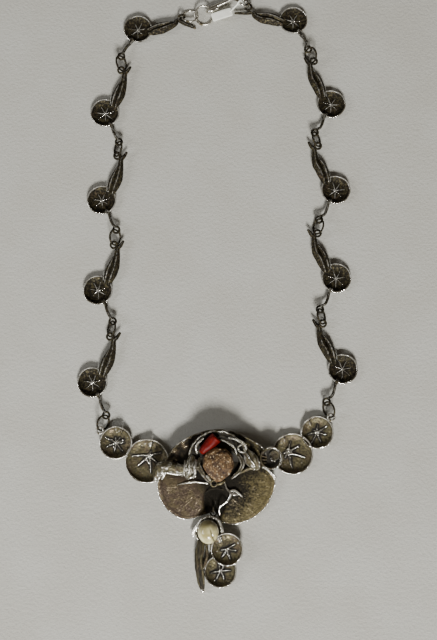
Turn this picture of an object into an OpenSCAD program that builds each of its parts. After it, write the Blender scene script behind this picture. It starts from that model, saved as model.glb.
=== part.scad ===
// A silver lily pad necklace that lies open on a table. Two rows of cast pad links hang from
// a hook clasp and meet at a broad leaf, which carries a coral stub, a rough bud stone, two
// pads on each side and a pearl drop.
// Millimetres. X runs to the right, Y towards the clasp and Z up from the table.
// Places are measured from the leaf, and every piece is then moved so that the origin is on
// the table in the middle of the necklace's outline.

/* [Chain pads] */
// Radius of a chain pad
pad_r = 5.6; // [5.2:0.1:5.8]
// Thickness of the pad metal
pad_wall = 0.8; // [0.7:0.1:1]
// How far a pad's edge rises above its foot
pad_lift = 1.7; // [1.4:0.1:2]
// Radius of the bead round a pad's edge
rim_bead = 0.3; // [0.2:0.05:0.4]
// Length of a ray of the star in a pad
ray_l = 2.4; // [2:0.1:2.6]
// Number of rays in a star
ray_count = 7; // [5:1:9]

/* [Eyes and jump rings] */
// Radius of an eye, to the middle of its wire
eye_r = 1.2; // [1.15:0.05:1.3]
// Radius of the wire of an eye
eye_wire = 0.4; // [0.35:0.05:0.4]
// Radius of a jump ring, to the middle of its wire
ring_r = 2.8; // [2.75:0.05:2.85]
// Radius of the wire of a jump ring
ring_wire = 0.35; // [0.3:0.05:0.35]
// How far a jump ring leans out of the level
ring_lean = 55; // [55:1:60]
// Radius of the large ring that the hook catches
catch_r = 3.45; // [3.4:0.05:3.5]
// Radius of a hidden ring behind the leaf
hinge_r = 1.5; // [1.4:0.1:1.6]

/* [Hook and tag] */
// Radius of the hook's rod
hook_rod = 0.75; // [0.7:0.05:0.8]
// Radius of the hook's bend, to the middle of the rod
hook_bend = 1.7; // [1.6:0.1:1.8]
// Length from the bend to the hook's own eye
hook_l = 11; // [10.8:0.1:11.2]
// Length of the tag's plate
tag_l = 8; // [7:0.2:8]
// Width of the tag's plate
tag_w = 3.2; // [3:0.1:3.4]
// Thickness of the tag's plate
tag_t = 0.6; // [0.5:0.1:0.7]

/* [Centre leaf] */
// Thickness of the leaf
leaf_wall = 0.9; // [0.8:0.1:1]
// Height of the leaf at the bud
crown_h = 4.6; // [4.4:0.1:4.8]
// How late the leaf falls from its crown to its edge
leaf_bow = 1.8; // [1.6:0.1:2]
// Height of the curled leaf's edge behind the coral
curl_h = 7.8; // [7:0.1:8]

/* [Stones] */
// Half sizes of the bud stone in X, Y and Z
stone_half = [5.3, 5.9, 2.5];
// Half sizes of the pearl in X, Y and Z
pearl_half = [3.8, 4.2, 3.3];
// Radius of the coral stub at its thin end
coral_r = 1.35; // [1.2:0.05:1.4]
// Radius of the coral stub at its thick end
coral_end_r = 1.9; // [1.6:0.1:1.9]

/* [Hidden] */
$fn = 36;
mesh_fn = 8;
gap = 0.3;
eps = 0.05;

// The middle of the outline, seen from the leaf
middle = [-0.3, 72.1];

// Where each link lies, from the clasp down: x and y of its pad, and its turn
LINKS_LEFT = [
    [-31.0, 169.7, -53], [-43.0, 136.0, 0], [-43.6, 102.0, 1], [-44.3, 67.9, 1], [-45.6, 34.1, -1]
];
LINKS_RIGHT = [
    [28.8, 173.3, 52], [42.8, 139.5, -1], [43.8, 105.9, -1], [43.4, 72.4, 0], [45.0, 38.9, 1]
];

// Heights and places within a link, on the side where the chain runs
eye_h = ring_r * sin(ring_lean) + ring_wire;
edge_eye_h = eye_r + eye_wire;
hinge_eye_r = 0.85;
hinge_wire = 0.3;
out_left = 6.0;
out_right = 6.8;
blade_eye_y = 16.6;
stem_eye_y = -11.8;
ray_h = 0.25;
rod_lap = 0.1;
rod_inner = 0.88;
ray_root = 0.75;

silver = "#8f8a80";
dark_silver = "#5d574e";
stone_brown = "#8a6a4f";
coral_red = "#b5301c";
pearl_cream = "#d9cfae";

// A frustum from one point to another
module rod(a, b, ra, rb) {
    way = b - a;
    len = norm(way);
    translate(a)
        rotate([0, acos(way.z / len), atan2(way.y, way.x)])
            cylinder(h = len, r1 = ra, r2 = rb);
}

// A frustum from b to c that starts a little before b, inside the one from a to b
module rod_on(a, b, c, rb, rc) {
    rod(b + rod_lap * (a - b), c, rod_inner * rb, rc);
}

module ball(at, r) {
    translate(at) sphere(r = r);
}

module torus(mid_r, wire) {
    rotate_extrude() translate([mid_r, 0]) circle(r = wire);
}

// A strand through rows of [x, y, z, radius]
module strand(rows) {
    for (i = [0 : len(rows) - 2])
        hull() {
            ball([rows[i].x, rows[i].y, rows[i].z], rows[i][3], $fn = mesh_fn);
            ball([rows[i + 1].x, rows[i + 1].y, rows[i + 1].z], rows[i + 1][3], $fn = mesh_fn);
        }
}

// Height of a pad's underside at a distance from its middle
function pad_under(d, r, foot, lift) = d <= foot ? 0 : lift * pow((d - foot) / (r - foot), 2);

// A cupped pad on a flat foot, with a bead round its edge
module dish(r, foot, lift, steps = 4) {
    spread = [for (i = [0 : steps]) foot + (r - foot) * i / steps];
    inner = r - 2 * rim_bead;
    rotate_extrude()
        polygon(concat(
            [[0, 0]],
            [for (d = spread) [d, pad_under(d, r, foot, lift)]],
            [[r, lift + pad_wall + rim_bead], [inner, lift + pad_wall + rim_bead]],
            [for (i = [steps - 1 : -1 : 0])
                [min(spread[i], inner - 0.1), pad_under(spread[i], r, foot, lift) + pad_wall]],
            [[0, pad_wall]]
        ));
}

// The slit from near a pad's middle out through its edge
module slit(r, turn, start, mouth) {
    rotate(turn)
        translate([0, 0, -1])
            linear_extrude(2 * r)
                polygon([[start, -0.1], [r + 1, -mouth / 2], [r + 1, mouth / 2], [start, 0.1]]);
}

// The raised star on a pad's floor
module star(turn) {
    outline = [for (k = [0 : 2 * ray_count - 1])
        let (reach = k % 2 == 0 ? ray_l : ray_root, a = turn + k * 180 / ray_count)
        reach * [cos(a), sin(a)]];
    translate([0, 0, pad_wall / 2]) linear_extrude(pad_wall / 2 + ray_h) polygon(outline);
    ball([0, 0, pad_wall + eps], 0.55);
}

// A whole pad: where its star lies, and where its slit opens
module pad(r, foot, lift, star_at, star_turn, slit_turn) {
    difference() {
        dish(r, foot, lift);
        slit(r, slit_turn, 0.55 * r, 0.2 * r);
    }
    translate(star_at) star(star_turn);
}

// An eye that stands on edge, across the direction of its ring
module standing_eye(at, turn, mid_r = hinge_eye_r, wire = hinge_wire) {
    translate(at) rotate([90, 0, turn]) torus(mid_r, wire);
}

// One cast link, drawn for the left side, with its chain running at x = out. The neck and
// the thorn's tip are seen from its upper eye, which lies flat or stands on edge along edge_turn
module link(out, neck_at = [1.4, -1.4, -0.2], thorn_at = [3.4, 1.4, -0.5], edge_turn = undef) {
    top_h = is_undef(edge_turn) ? eye_h : edge_eye_h;
    top_eye = [out, blade_eye_y, top_h];
    low_eye = [out - 0.4, stem_eye_y, eye_h];
    neck = top_eye + neck_at;
    near = top_eye + eye_r
        * (is_undef(edge_turn) ? neck_at / norm(neck_at) : -[cos(edge_turn), sin(edge_turn), 0]);
    root = [4.6, 3.2, 1.8];
    waist = [out + 0.5, 8.8, 2.1];
    short_root = [3.0, 4.2, 1.7];
    short_waist = [3.7, 7.2, 2.0];
    stem_root = [2.6, -3.8, 1.3];
    stem_bend = [3.5, -7.8, 1.9];
    color(dark_silver) {
        pad(pad_r, 2.6, pad_lift, [0, 0, 0], 20, 62);
        // The long leaf of the blade runs on into the thorn
        rod(root, waist, 1.2, 1.25);
        rod_on(root, waist, neck, 1.25, 0.7);
        rod_on(waist, neck, top_eye + thorn_at, 0.7, 0.25);
        // The short leaf of the blade
        rod(short_root, short_waist, 0.9, 1.1);
        rod_on(short_root, short_waist, [out - 0.2, 11.6, 2.3], 1.1, 0.5);
        if (is_undef(edge_turn)) translate(top_eye) torus(eye_r, eye_wire);
        else standing_eye(top_eye, edge_turn, eye_r, eye_wire);
        if (norm(neck_at) > 2) rod(neck, near, 0.5, eye_wire);
        // The stem
        rod(stem_root, stem_bend, 0.8, 0.6);
        rod_on(stem_root, stem_bend, low_eye + [-0.4, 1.1, 0], 0.6, 0.5);
        translate(low_eye) torus(eye_r, eye_wire);
    }
}

// A point of a link after the link is placed; side is 1 on the left and -1 on the right
function placed(row, side, at) = [
    row.x + side * at.x * cos(row[2]) - at.y * sin(row[2]),
    row.y + side * at.x * sin(row[2]) + at.y * cos(row[2]),
    eye_h
];
function blade_eye(row, side, out) = placed(row, side, [out, blade_eye_y]);
function stem_eye(row, side, out) = placed(row, side, [out - 0.4, stem_eye_y]);

// The links next to the clasp have a longer thorn, which passes below their eye
module link_left(i) {
    row = LINKS_LEFT[i - 1];
    translate([row.x, row.y, 0])
        rotate(row[2]) {
            if (i == 1) link(out_left, [0.3, -2.2, 0], [6.6, 1.4, -0.6], clasp_turn - row[2]);
            else link(out_left);
        }
}

module link_right(i) {
    row = LINKS_RIGHT[i - 1];
    translate([row.x, row.y, 0])
        rotate(row[2])
            mirror([1, 0, 0]) {
                if (i == 1) link(out_right, [0.5, -2.7, -0.4], [4.6, 2.8, -1]);
                else link(out_right);
            }
}

// A ring between two eyes, leaning to one side
module ring_between(a, b, mid_r, wire, lean) {
    color(silver)
        translate((a + b) / 2)
            rotate([0, 0, atan2(b.y - a.y, b.x - a.x)])
                rotate([lean, 0, 0])
                    torus(mid_r, wire);
}

// The pads beside the leaf: middle, radius, foot radius, lift and slit direction
outer_left = [-36.7, 12.5, 0];
inner_left = [-25.5, 6.1, 0];
outer_right = [35.4, 16.2, 0];
inner_right = [26.5, 8.6, 0];
outer_r = 6.0;
inner_left_r = 8.0;
inner_right_r = 7.5;
side_foot = 4.6;
hinge_h = 1.3;

function beside(at, r, turn, h) = at + [r * cos(turn), r * sin(turn), h];
chain_eye_left = beside(outer_left, outer_r + 1.2, 142, eye_h);
chain_eye_right = beside(outer_right, outer_r + 1.2, 47, eye_h);

// Where a hidden ring joins a side pad to the leaf: on the pad, and on the leaf
turn_left = -20;
turn_right = 190;
pad_hinge_left = beside(inner_left, inner_left_r + 0.5, turn_left, hinge_h);
pad_hinge_right = beside(inner_right, inner_right_r + 0.5, turn_right, hinge_h);
leaf_hinge_left = beside(inner_left, inner_left_r + 0.5 + 2 * hinge_r, turn_left, hinge_h);
leaf_hinge_right = beside(inner_right, inner_right_r + 0.5 + 2 * hinge_r, turn_right, hinge_h);

module pads_left() {
    color(dark_silver) {
        translate(outer_left) pad(outer_r, 2.7, 1.9, [0, 0, 0], 15, 62);
        translate(inner_left) pad(inner_left_r, side_foot, 1.6, [0.7, 1.9, 0], 30, 78);
        translate(chain_eye_left) torus(eye_r, eye_wire);
        standing_eye(pad_hinge_left, turn_left);
    }
}

module pads_right() {
    color(dark_silver) {
        translate(outer_right) pad(outer_r, 2.7, 1.9, [0, 0, 0], 25, 124);
        translate(inner_right) pad(inner_right_r, side_foot, 1.6, [-1.6, 0.7, 0], 10, 118);
        translate(chain_eye_right) torus(eye_r, eye_wire);
        standing_eye(pad_hinge_right, turn_right);
    }
}

module hinge(a, b) {
    color(silver) translate((a + b) / 2) torus(hinge_r, hinge_wire);
}

// The leaf's edge round its heart: direction, reach and height of the top face
leaf_heart = [-0.9, -0.7];
LEAF_EDGE = [
    [-84, 14.2, 1.2], [-70, 16.6, 1.1], [-55, 17.8, 1.1], [-40, 19.1, 1.2], [-20, 20.6, 1.5],
    [0, 21.2, 2.6], [12, 19.0, 3.8], [32, 20.4, 4.8], [50, 19.0, 5.3], [70, 18.2, 5.4],
    [92, 18.0, 5.2], [115, 17.9, 4.9], [133, 18.7, 4.8], [148, 19.0, 4.8], [166, 19.3, 4.7],
    [184, 20.9, 4.0], [200, 20.9, 2.2], [215, 19.8, 1.3], [230, 17.8, 1.1], [246, 13.6, 1.2]
];
leaf_steps = 40;
LEAF_RINGS = [0.09, 0.4, 0.65, 0.85, 0.96, 1];

// A smooth curve through a column of rows that are keyed by their first column
function row_before(a, rows, i = 0) =
    i >= len(rows) - 2 || a < rows[i + 1][0] ? i : row_before(a, rows, i + 1);
function row_slope(rows, i, col) =
    let (low = max(i - 1, 0), high = min(i + 1, len(rows) - 1))
    (rows[high][col] - rows[low][col]) / (rows[high][0] - rows[low][0]);
function along(a, rows, col) =
    let (
        i = row_before(a, rows),
        step = rows[i + 1][0] - rows[i][0],
        t = (a - rows[i][0]) / step
    )
    (2 * pow(t, 3) - 3 * pow(t, 2) + 1) * rows[i][col]
    + (pow(t, 3) - 2 * pow(t, 2) + t) * step * row_slope(rows, i, col)
    + (3 * pow(t, 2) - 2 * pow(t, 3)) * rows[i + 1][col]
    + (pow(t, 3) - pow(t, 2)) * step * row_slope(rows, i + 1, col);

// A point of the leaf's top face at a direction and a share of the reach
function leaf_top(a, share) =
    let (reach = along(a, LEAF_EDGE, 1) * share, edge = along(a, LEAF_EDGE, 2))
    [
        leaf_heart.x + reach * cos(a),
        leaf_heart.y + reach * sin(a),
        crown_h + (edge - crown_h) * pow(share, leaf_bow)
    ];

// The two triangles of one cell of a net, given the four corners in turn
function cell(a, b, c, d) = [[a, b, c], [a, c, d]];

// The leaf is a fan from one side of its slit round to the other
module leaf_sheet() {
    rings = len(LEAF_RINGS);
    first = LEAF_EDGE[0][0];
    last = LEAF_EDGE[len(LEAF_EDGE) - 1][0];
    half = (leaf_steps + 1) * rings;
    top = [
        for (k = [0 : leaf_steps]) for (share = LEAF_RINGS)
            leaf_top(first + (last - first) * k / leaf_steps, share)
    ];
    under = [for (p = top) p - [0, 0, leaf_wall]];
    spokes = [for (k = [0 : leaf_steps - 1]) k * rings];
    polyhedron(
        points = concat(top, under),
        faces = concat(
            [for (k = spokes) for (j = [0 : rings - 2]) each
                cell(k + j, k + rings + j, k + rings + j + 1, k + j + 1)],
            [for (k = spokes) for (j = [0 : rings - 2]) each
                cell(half + k + j, half + k + j + 1, half + k + rings + j + 1, half + k + rings + j)],
            [for (k = spokes) each
                cell(k + rings - 1, k + 2 * rings - 1, half + k + 2 * rings - 1, half + k + rings - 1)],
            [for (k = spokes) each cell(k, half + k, half + k + rings, k + rings)],
            [for (j = [0 : rings - 2]) each cell(j, j + 1, half + j + 1, half + j)],
            [for (j = [0 : rings - 2]) each
                let (k = half - rings) cell(k + j, half + k + j, half + k + j + 1, k + j + 1)]
        ),
        convexity = 6
    );
}

// Strands soldered on the leaf: x, y, z and radius
BRANCH = [
    [-7.6, 4.2, 5.7, 1.3], [-9.8, 3.9, 6.0, 2.2], [-11.8, 3.3, 5.9, 1.8], [-14.4, 3.5, 6.0, 1.9],
    [-17.4, 4.2, 6.1, 2.1], [-19.9, 3.9, 5.7, 1.8], [-21.4, 2.5, 5.0, 1.2], [-22.1, 0.9, 4.4, 0.8]
];
SEPAL_LEFT = [[-4.2, 9.2, 5.2, 0.6], [-7.0, 6.6, 6.0, 0.8], [-6.9, 3.2, 6.0, 0.8], [-3.8, -1.2, 5.0, 0.6]];
SEPAL_RIGHT = [[4.8, 9.6, 5.2, 0.6], [7.4, 6.8, 6.2, 0.8], [7.2, 3.0, 6.0, 0.8], [4.2, -1.0, 5.0, 0.6]];
CONNECTION = [[6.2, 1.6, 5.2, 0.8], [8.6, 3.0, 5.4, 0.9], [11.0, 4.4, 5.6, 1.2]];
BUD = [[10.2, 9.2, 6.0, 1.5], [11.6, 6.9, 6.2, 2.3], [13.0, 4.6, 5.8, 1.5]];
BAR = [[16.8, 3.6, 4.9, 0.45], [20.0, 0.6, 3.2, 0.45]];
SPUR = [[-14.1, -1.9, 4.5, 0.4], [-8.4, -1.1, 4.8, 0.5], [-4.0, -1.7, 4.8, 0.4]];
TENDRIL = [
    [2.0, -1.1, 5.2, 0.6], [3.0, -3.5, 4.9, 0.5], [4.1, -4.8, 4.7, 0.55], [3.4, -7.4, 4.2, 0.55],
    [0.8, -9.6, 3.6, 0.5], [0.1, -11.2, 3.0, 0.5], [0.3, -12.8, 2.4, 0.45]
];
LEAFLET = [[4.1, -4.4, 4.7, 0.5], [6.2, -4.1, 4.7, 0.5], [8.2, -5.8, 4.4, 0.3]];

// The curled leaf is a wall round the back of the bud, wider at its top
curl_at = [-0.3, 6.6];
curl_turns = [160 : -25 : 35];
module curl_post(turn) {
    ball([curl_at.x + 8.6 * cos(turn), curl_at.y + 8.6 * sin(turn), crown_h + 0.5], 0.5, $fn = mesh_fn);
    ball([curl_at.x + 10.1 * cos(turn), curl_at.y + 10.1 * sin(turn), curl_h - 0.4], 0.4, $fn = mesh_fn);
}
module curled_leaf() {
    for (turn = curl_turns)
        if (turn > 35)
            hull() {
                curl_post(turn);
                curl_post(turn - 25);
            }
}

// The cup behind the leaf's slit, on which the leaf stands
slit_cup = [-0.9, -5.0, 0];
slit_cup_r = 3.4;
drop_eye_r = 1;
drop_ring_h = 1.8;
drop_line = -1.8;
leaf_drop_eye = [drop_line, slit_cup.y - slit_cup_r - 0.8, drop_ring_h];
drop_leaf_eye = leaf_drop_eye - [0, 2.9, 0];
calyx_at = [18.5, 7.1, 4.0];

module flat_eye(at) {
    translate(at) torus(drop_eye_r, hinge_wire, $fn = 20);
}

module centre_leaf() {
    $fn = 24;
    color(silver) {
        leaf_sheet();
        translate([leaf_heart.x, leaf_heart.y + 2.5, crown_h - leaf_wall]) cylinder(r = 3.4, h = 1.3);
        strand(BRANCH);
        strand([[-9.8, 6.6, 5.6, 1.3], [-10.4, 1.2, 5.4, 1.3]]);
        strand(SEPAL_LEFT);
        strand(SEPAL_RIGHT);
        strand(CONNECTION);
        strand(BUD);
        strand(BAR);
        strand(SPUR);
        strand(TENDRIL);
        strand(LEAFLET);
        curled_leaf();
        translate([-1.6, -1.6, 5.0]) torus(1.1, 0.45, $fn = 16);
        translate(calyx_at) dish(4.0, 1.8, 1.4, 3);
        translate(slit_cup) dish(slit_cup_r, 1.6, 2.4, 3);
        flat_eye(leaf_drop_eye);
        for (side = [[leaf_hinge_left, turn_left], [leaf_hinge_right, turn_right]]) {
            standing_eye(side[0], side[1], $fn = 20);
            rod(side[0] + [0, 0, hinge_eye_r], side[0] + [0, 0, crown_h - hinge_h - 0.5], 0.45, 0.45);
        }
    }
}

// A lumpy stone: half sizes, and the strength of its lumps
module nugget(half, lump, turns = 24, rows = 11) {
    points = concat(
        [[0, 0, -half.z]],
        [for (j = [1 : rows]) for (k = [0 : turns - 1])
            let (
                up = 180 * j / (rows + 1) - 90,
                a = 360 * k / turns,
                swell = 1 + lump * (sin(3 * a + 40) * cos(up) + sin(2 * a) * sin(2 * up)) / 2
            )
            [half.x * swell * cos(up) * cos(a), half.y * swell * cos(up) * sin(a), half.z * sin(up)]],
        [[0, 0, half.z]]
    );
    top = rows * turns + 1;
    polyhedron(
        points = points,
        faces = concat(
            [for (k = [0 : turns - 1]) [0, 1 + k, 1 + (k + 1) % turns]],
            [for (j = [0 : rows - 2]) for (k = [0 : turns - 1]) each
                let (low = 1 + j * turns, next = (k + 1) % turns)
                cell(low + k, low + turns + k, low + turns + next, low + next)],
            [for (k = [0 : turns - 1]) let (low = 1 + (rows - 1) * turns)
                [top, low + (k + 1) % turns, low + k]]
        )
    );
}

stone_at = [0, 5.0, crown_h + 0.7 + stone_half.z];
module bud_stone() {
    color(stone_brown) translate(stone_at) nugget(stone_half, 0.06);
}

coral_low = [-5.0, 10.3, 7.2];
coral_high = [-1.2, 14.1, 8.0];
module coral() {
    color(coral_red) rod(coral_low, coral_high, coral_r, coral_end_r);
}

pearl_at = [-3.6, -18.2, pad_wall + 0.2 + pearl_half.z];
module pearl() {
    color(pearl_cream) translate(pearl_at) nugget(pearl_half, 0.04);
}

// The drop: twig, thin side branch, collar and spur of the pearl's cup
TWIG = [
    [-6.4, -22.6, 1.5, 1.3], [-6.9, -26.0, 1.5, 1.35], [-6.7, -30.5, 1.5, 1.4], [-6.2, -34.5, 1.4, 1.3],
    [-5.8, -37.2, 1.1, 0.9]
];
SIDE_TWIG = [[-4.4, -22.8, 1.7, 0.5], [-4.3, -26.5, 1.8, 0.5], [-5.2, -30.5, 1.6, 0.5]];
COLLAR = [
    [-6.9, -15.4, 2.8, 0.5], [-5.4, -13.8, 3.2, 0.5], [-3.3, -13.2, 3.4, 0.5], [-0.8, -13.9, 3.6, 0.5],
    [0.8, -16.0, 3.6, 0.5], [1.1, -19.0, 3.0, 0.5]
];
CUP_SPUR = [[-7.4, -15.8, 2.4, 0.6], [-9.4, -19.2, 1.6, 0.35]];
upper_pad = [3.0, -24.3, 2.1];
lower_pad = [0.7, -32.0, 0];
drop_pad_r = 5.8;

module pearl_drop() {
    $fn = 28;
    color(dark_silver)
        difference() {
            union() {
                translate([pearl_at.x, pearl_at.y, 0]) dish(4.9, 2.2, 1.6, 3);
                translate(lower_pad) pad(drop_pad_r, 2.6, pad_lift, [0, 0, 0], 10, 70, $fn = 28);
                translate(upper_pad) pad(drop_pad_r, 2.6, pad_lift, [0, 0, 0], 30, 122, $fn = 28);
                strand(TWIG);
                strand(SIDE_TWIG);
                strand(COLLAR);
                strand(CUP_SPUR);
                ball([-5.6, -38.6, 1.0], 1.0);
                flat_eye(drop_leaf_eye);
                rod(drop_leaf_eye - [0.1, drop_eye_r, 0], drop_leaf_eye - [0.3, 2.3, -0.3], 0.35, 0.35);
            }
            translate(pearl_at) scale(pearl_half * 1.04 + [gap, gap, gap - 0.15]) sphere(r = 1);
        }
}

module hinge_drop() {
    color(silver)
        translate((leaf_drop_eye + drop_leaf_eye) / 2)
            rotate([0, 90, 0])
                torus(hinge_r - 0.05, hinge_wire);
}

// The clasp: two rings that lean little follow the left row, and the hook catches the second
right_top = blade_eye(LINKS_RIGHT[0], -1, out_right);
clasp_ring_r = 3.0;
clasp_lean = 22;
clasp_turn = 3;
catch_wire = 0.4;
rings_lap = 1.1;
hook_turn = 27;
hook_lean = 50;
hook_end = 1.8;
hook_ball = hook_rod + 0.1;
catch_direction = 35;

function ahead(at, reach, turn) = at + [reach * cos(turn), reach * sin(turn), 0];
function at_height(at, h) = [at.x, at.y, h];

left_top = at_height(blade_eye(LINKS_LEFT[0], 1, out_left), edge_eye_h);
top_ring_h = clasp_ring_r * sin(clasp_lean) + ring_wire;
top_ring_at = at_height(ahead(left_top, clasp_ring_r + 0.2, clasp_turn), top_ring_h);
catch_h = catch_r * sin(clasp_lean) + catch_wire;
catch_at = at_height(ahead(top_ring_at, clasp_ring_r + catch_r - rings_lap, clasp_turn), catch_h);
bend_reach = catch_r - catch_wire - hook_rod - gap + hook_bend - 0.2;
bend_h = hook_bend * sin(hook_lean) + hook_ball + 0.15;
bend_at = at_height(ahead(catch_at, bend_reach, catch_direction), bend_h);
hook_eye = at_height(ahead(bend_at, hook_l, hook_turn), eye_h);

module leaning_ring(at, turn, lean, mid_r, wire) {
    color(silver) translate(at) rotate([0, 0, turn]) rotate([lean, 0, 0]) torus(mid_r, wire);
}

module ring_left_0() {
    leaning_ring(top_ring_at, clasp_turn, -clasp_lean, clasp_ring_r, ring_wire);
}

module ring_catch() {
    leaning_ring(catch_at, clasp_turn, clasp_lean, catch_r, catch_wire);
}

// The hook's shank lies on the table, and its short end stands higher
module hook() {
    across = [-sin(hook_turn), cos(hook_turn), 0];
    side = hook_bend * (cos(hook_lean) * across - [0, 0, sin(hook_lean)]);
    bend = [for (a = [0 : 30 : 180]) ahead(bend_at + cos(a) * side, -hook_bend * sin(a), hook_turn)];
    tip = ahead(bend_at - side, hook_end, hook_turn);
    shank_end = ahead(hook_eye, -eye_r, hook_turn);
    color(silver) {
        strand([
            [shank_end.x, shank_end.y, shank_end.z, 0.6],
            for (p = concat(bend, [tip])) [p.x, p.y, p.z, hook_rod]
        ]);
        ball(tip, hook_ball, $fn = mesh_fn);
        translate(hook_eye) torus(eye_r, eye_wire, $fn = 20);
    }
}

// The last ring leans as far as the height of its two eyes lets it
last_lean = asin((eye_h - ring_wire) / clasp_ring_r);
module ring_right_0() {
    ring_between(hook_eye, right_top, clasp_ring_r, ring_wire, -last_lean);
}

// The tag lies over the clasp, and its wire loop goes round the top of the last ring
tag_turn = 19;
tag_at = [1.3, 174.8, 2.9];
tag_eye_r = 0.95;
tag_wire = 0.28;
last_turn = atan2(right_top.y - hook_eye.y, right_top.x - hook_eye.x);
last_side = [sin(last_turn), -cos(last_turn), 0];
last_top = (hook_eye + right_top) / 2
    + clasp_ring_r * (cos(last_lean) * last_side + [0, 0, sin(last_lean)]);

module tag() {
    color(silver) {
        translate(tag_at)
            rotate(tag_turn)
                translate([-tag_l / 2, -tag_w / 2, 0])
                    cube([tag_l, tag_w, tag_t]);
        standing_eye(last_top, last_turn + 90, tag_eye_r);
        rod(
            ahead(tag_at + [0, 0, tag_t / 2], tag_l / 2 - 0.8, tag_turn),
            last_top + last_side * tag_eye_r, tag_wire, tag_wire
        );
    }
}

// The line of a chain: the eye that each ring starts from, and the eye that it ends in
function ring_start(rows, side, out, i) = stem_eye(rows[i - 1], side, out);
function ring_end(rows, side, out, i, last) = i < len(rows) ? blade_eye(rows[i], side, out) : last;

module ring_left(i) {
    ring_between(
        ring_start(LINKS_LEFT, 1, out_left, i),
        ring_end(LINKS_LEFT, 1, out_left, i, chain_eye_left),
        ring_r, ring_wire, i % 2 == 0 ? ring_lean : -ring_lean
    );
}

module ring_right(i) {
    ring_between(
        ring_start(LINKS_RIGHT, -1, out_right, i),
        ring_end(LINKS_RIGHT, -1, out_right, i, chain_eye_right),
        ring_r, ring_wire, i % 2 == 0 ? -ring_lean : ring_lean
    );
}

module centred() {
    translate([-middle.x, -middle.y, 0]) children();
}

for (i = [1 : 5]) {
    centred() link_left(i);
    centred() link_right(i);
    centred() ring_left(i);
    centred() ring_right(i);
}
centred() ring_left_0();
centred() ring_right_0();
centred() ring_catch();
centred() hook();
centred() tag();
centred() pads_left();
centred() pads_right();
centred() centre_leaf();
centred() bud_stone();
centred() coral();
centred() pearl();
centred() pearl_drop();
centred() hinge(pad_hinge_left, leaf_hinge_left);  // hinge_left
centred() hinge(pad_hinge_right, leaf_hinge_right);  // hinge_right
centred() hinge_drop();
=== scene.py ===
"""Looks of a silver lily pad necklace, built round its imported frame.

Every shape is drawn in millimetres from the middle of the broad leaf, with X to the right, Y towards
the clasp and Z up from the table, and is moved into the frame, in metres, when its piece is finished.
"""

import math

import bmesh
import bpy
from mathutils import Matrix, Vector, noise


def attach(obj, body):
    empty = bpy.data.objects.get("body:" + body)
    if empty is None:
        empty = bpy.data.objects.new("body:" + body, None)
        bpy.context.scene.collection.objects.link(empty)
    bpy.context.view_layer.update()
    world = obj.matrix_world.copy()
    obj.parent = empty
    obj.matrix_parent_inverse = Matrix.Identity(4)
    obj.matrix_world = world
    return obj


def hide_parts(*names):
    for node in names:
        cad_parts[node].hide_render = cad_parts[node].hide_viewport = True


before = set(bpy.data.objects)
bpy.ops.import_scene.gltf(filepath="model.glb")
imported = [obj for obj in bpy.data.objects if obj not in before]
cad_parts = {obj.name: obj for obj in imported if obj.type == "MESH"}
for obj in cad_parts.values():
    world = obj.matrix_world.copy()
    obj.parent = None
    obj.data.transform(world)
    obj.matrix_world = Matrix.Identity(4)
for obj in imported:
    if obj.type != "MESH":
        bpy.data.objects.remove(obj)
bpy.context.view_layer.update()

bl_info = {
    "name": "Lily pad necklace",
    "version": (1, 0, 0),
    "blender": (4, 5, 0),
    "location": "3D View > Sidebar > Necklace",
    "description": "Builds the pads, leaf, stones, drop and clasp of a silver lily pad necklace",
    "category": "Add Mesh",
}

MM = 0.001
UP = Vector((0, 0, 1))
LYING = Matrix.Identity(4)
LEAF_TO_MIDDLE = Vector((0.3, -72.1, 0))

# Where each link lies, from the clasp down: x and y of its pad, and its turn
LINKS = {
    "left": [(-31.0, 169.7, -53), (-43.0, 136.0, 0), (-43.6, 102.0, 1), (-44.3, 67.9, 1), (-45.6, 34.1, -1)],
    "right": [(28.8, 173.3, 52), (42.8, 139.5, -1), (43.8, 105.9, -1), (43.4, 72.4, 0), (45.0, 38.9, 1)],
}
SIDE = {"left": 1, "right": -1}
JUMP_LEAN = 55
CHAIN_OUT = {"left": 6.0, "right": 6.8}
BLADE_EYE_Y = 16.6
STEM_EYE_Y = -11.8
STEM_EYE_IN = 0.4
EYE_R = 1.2
EYE_WIRE = 0.4
EYE_H = 2.64
EDGE_EYE_H = EYE_R + EYE_WIRE
LINK_PAD = dict(at=(0, 0), foot=2.6, lift=1.7, slit=62, slit_start=0.55)
# Where a blade's neck and thorn lie from its eye, on most links and on the two by the clasp
NECK_BY = (1.4, -1.4, -0.2)
THORN_BY = (3.4, 1.4, -0.5)
CLASP_NECK_BY = {"left": (0.3, -2.2, 0), "right": (0.5, -2.7, -0.4)}
CLASP_THORN_BY = {"left": (6.6, 1.4, -0.6), "right": (4.6, 2.8, -1.0)}

# The pads beside the leaf and in the drop: middle, radius, foot radius and lift, the slit's direction,
# start and mouth, and the height and width of the lip beside it
OUTER_LEFT = dict(at=(-36.7, 12.5), r=6.0, foot=2.7, lift=1.9, slit=62, slit_start=0.4, mouth=0.015,
                  lobe=0.9, lobe_wide=2.4)
INNER_LEFT = dict(at=(-25.5, 6.1), r=8.0, foot=4.6, lift=1.6, slit=74, slit_start=0.3, mouth=0.015,
                  lobe=1.0, lobe_wide=2.6)
OUTER_RIGHT = dict(at=(35.4, 16.2), r=6.0, foot=2.7, lift=1.9, slit=126, slit_start=0.4, mouth=0.015,
                   lobe=0.7, lobe_wide=1.2)
INNER_RIGHT = dict(at=(26.5, 8.6), r=7.5, foot=4.2, lift=1.6, slit=118, slit_start=0.55, mouth=0.015,
                   lobe=0.7, lobe_wide=1.2)
UPPER_DROP = dict(at=(3.0, -24.3), r=5.8, foot=2.6, lift=1.7, slit=121, slit_start=0.15, base=2.1, mouth=0.10,
                  lobe=0.3, lobe_wide=1.2)
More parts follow.
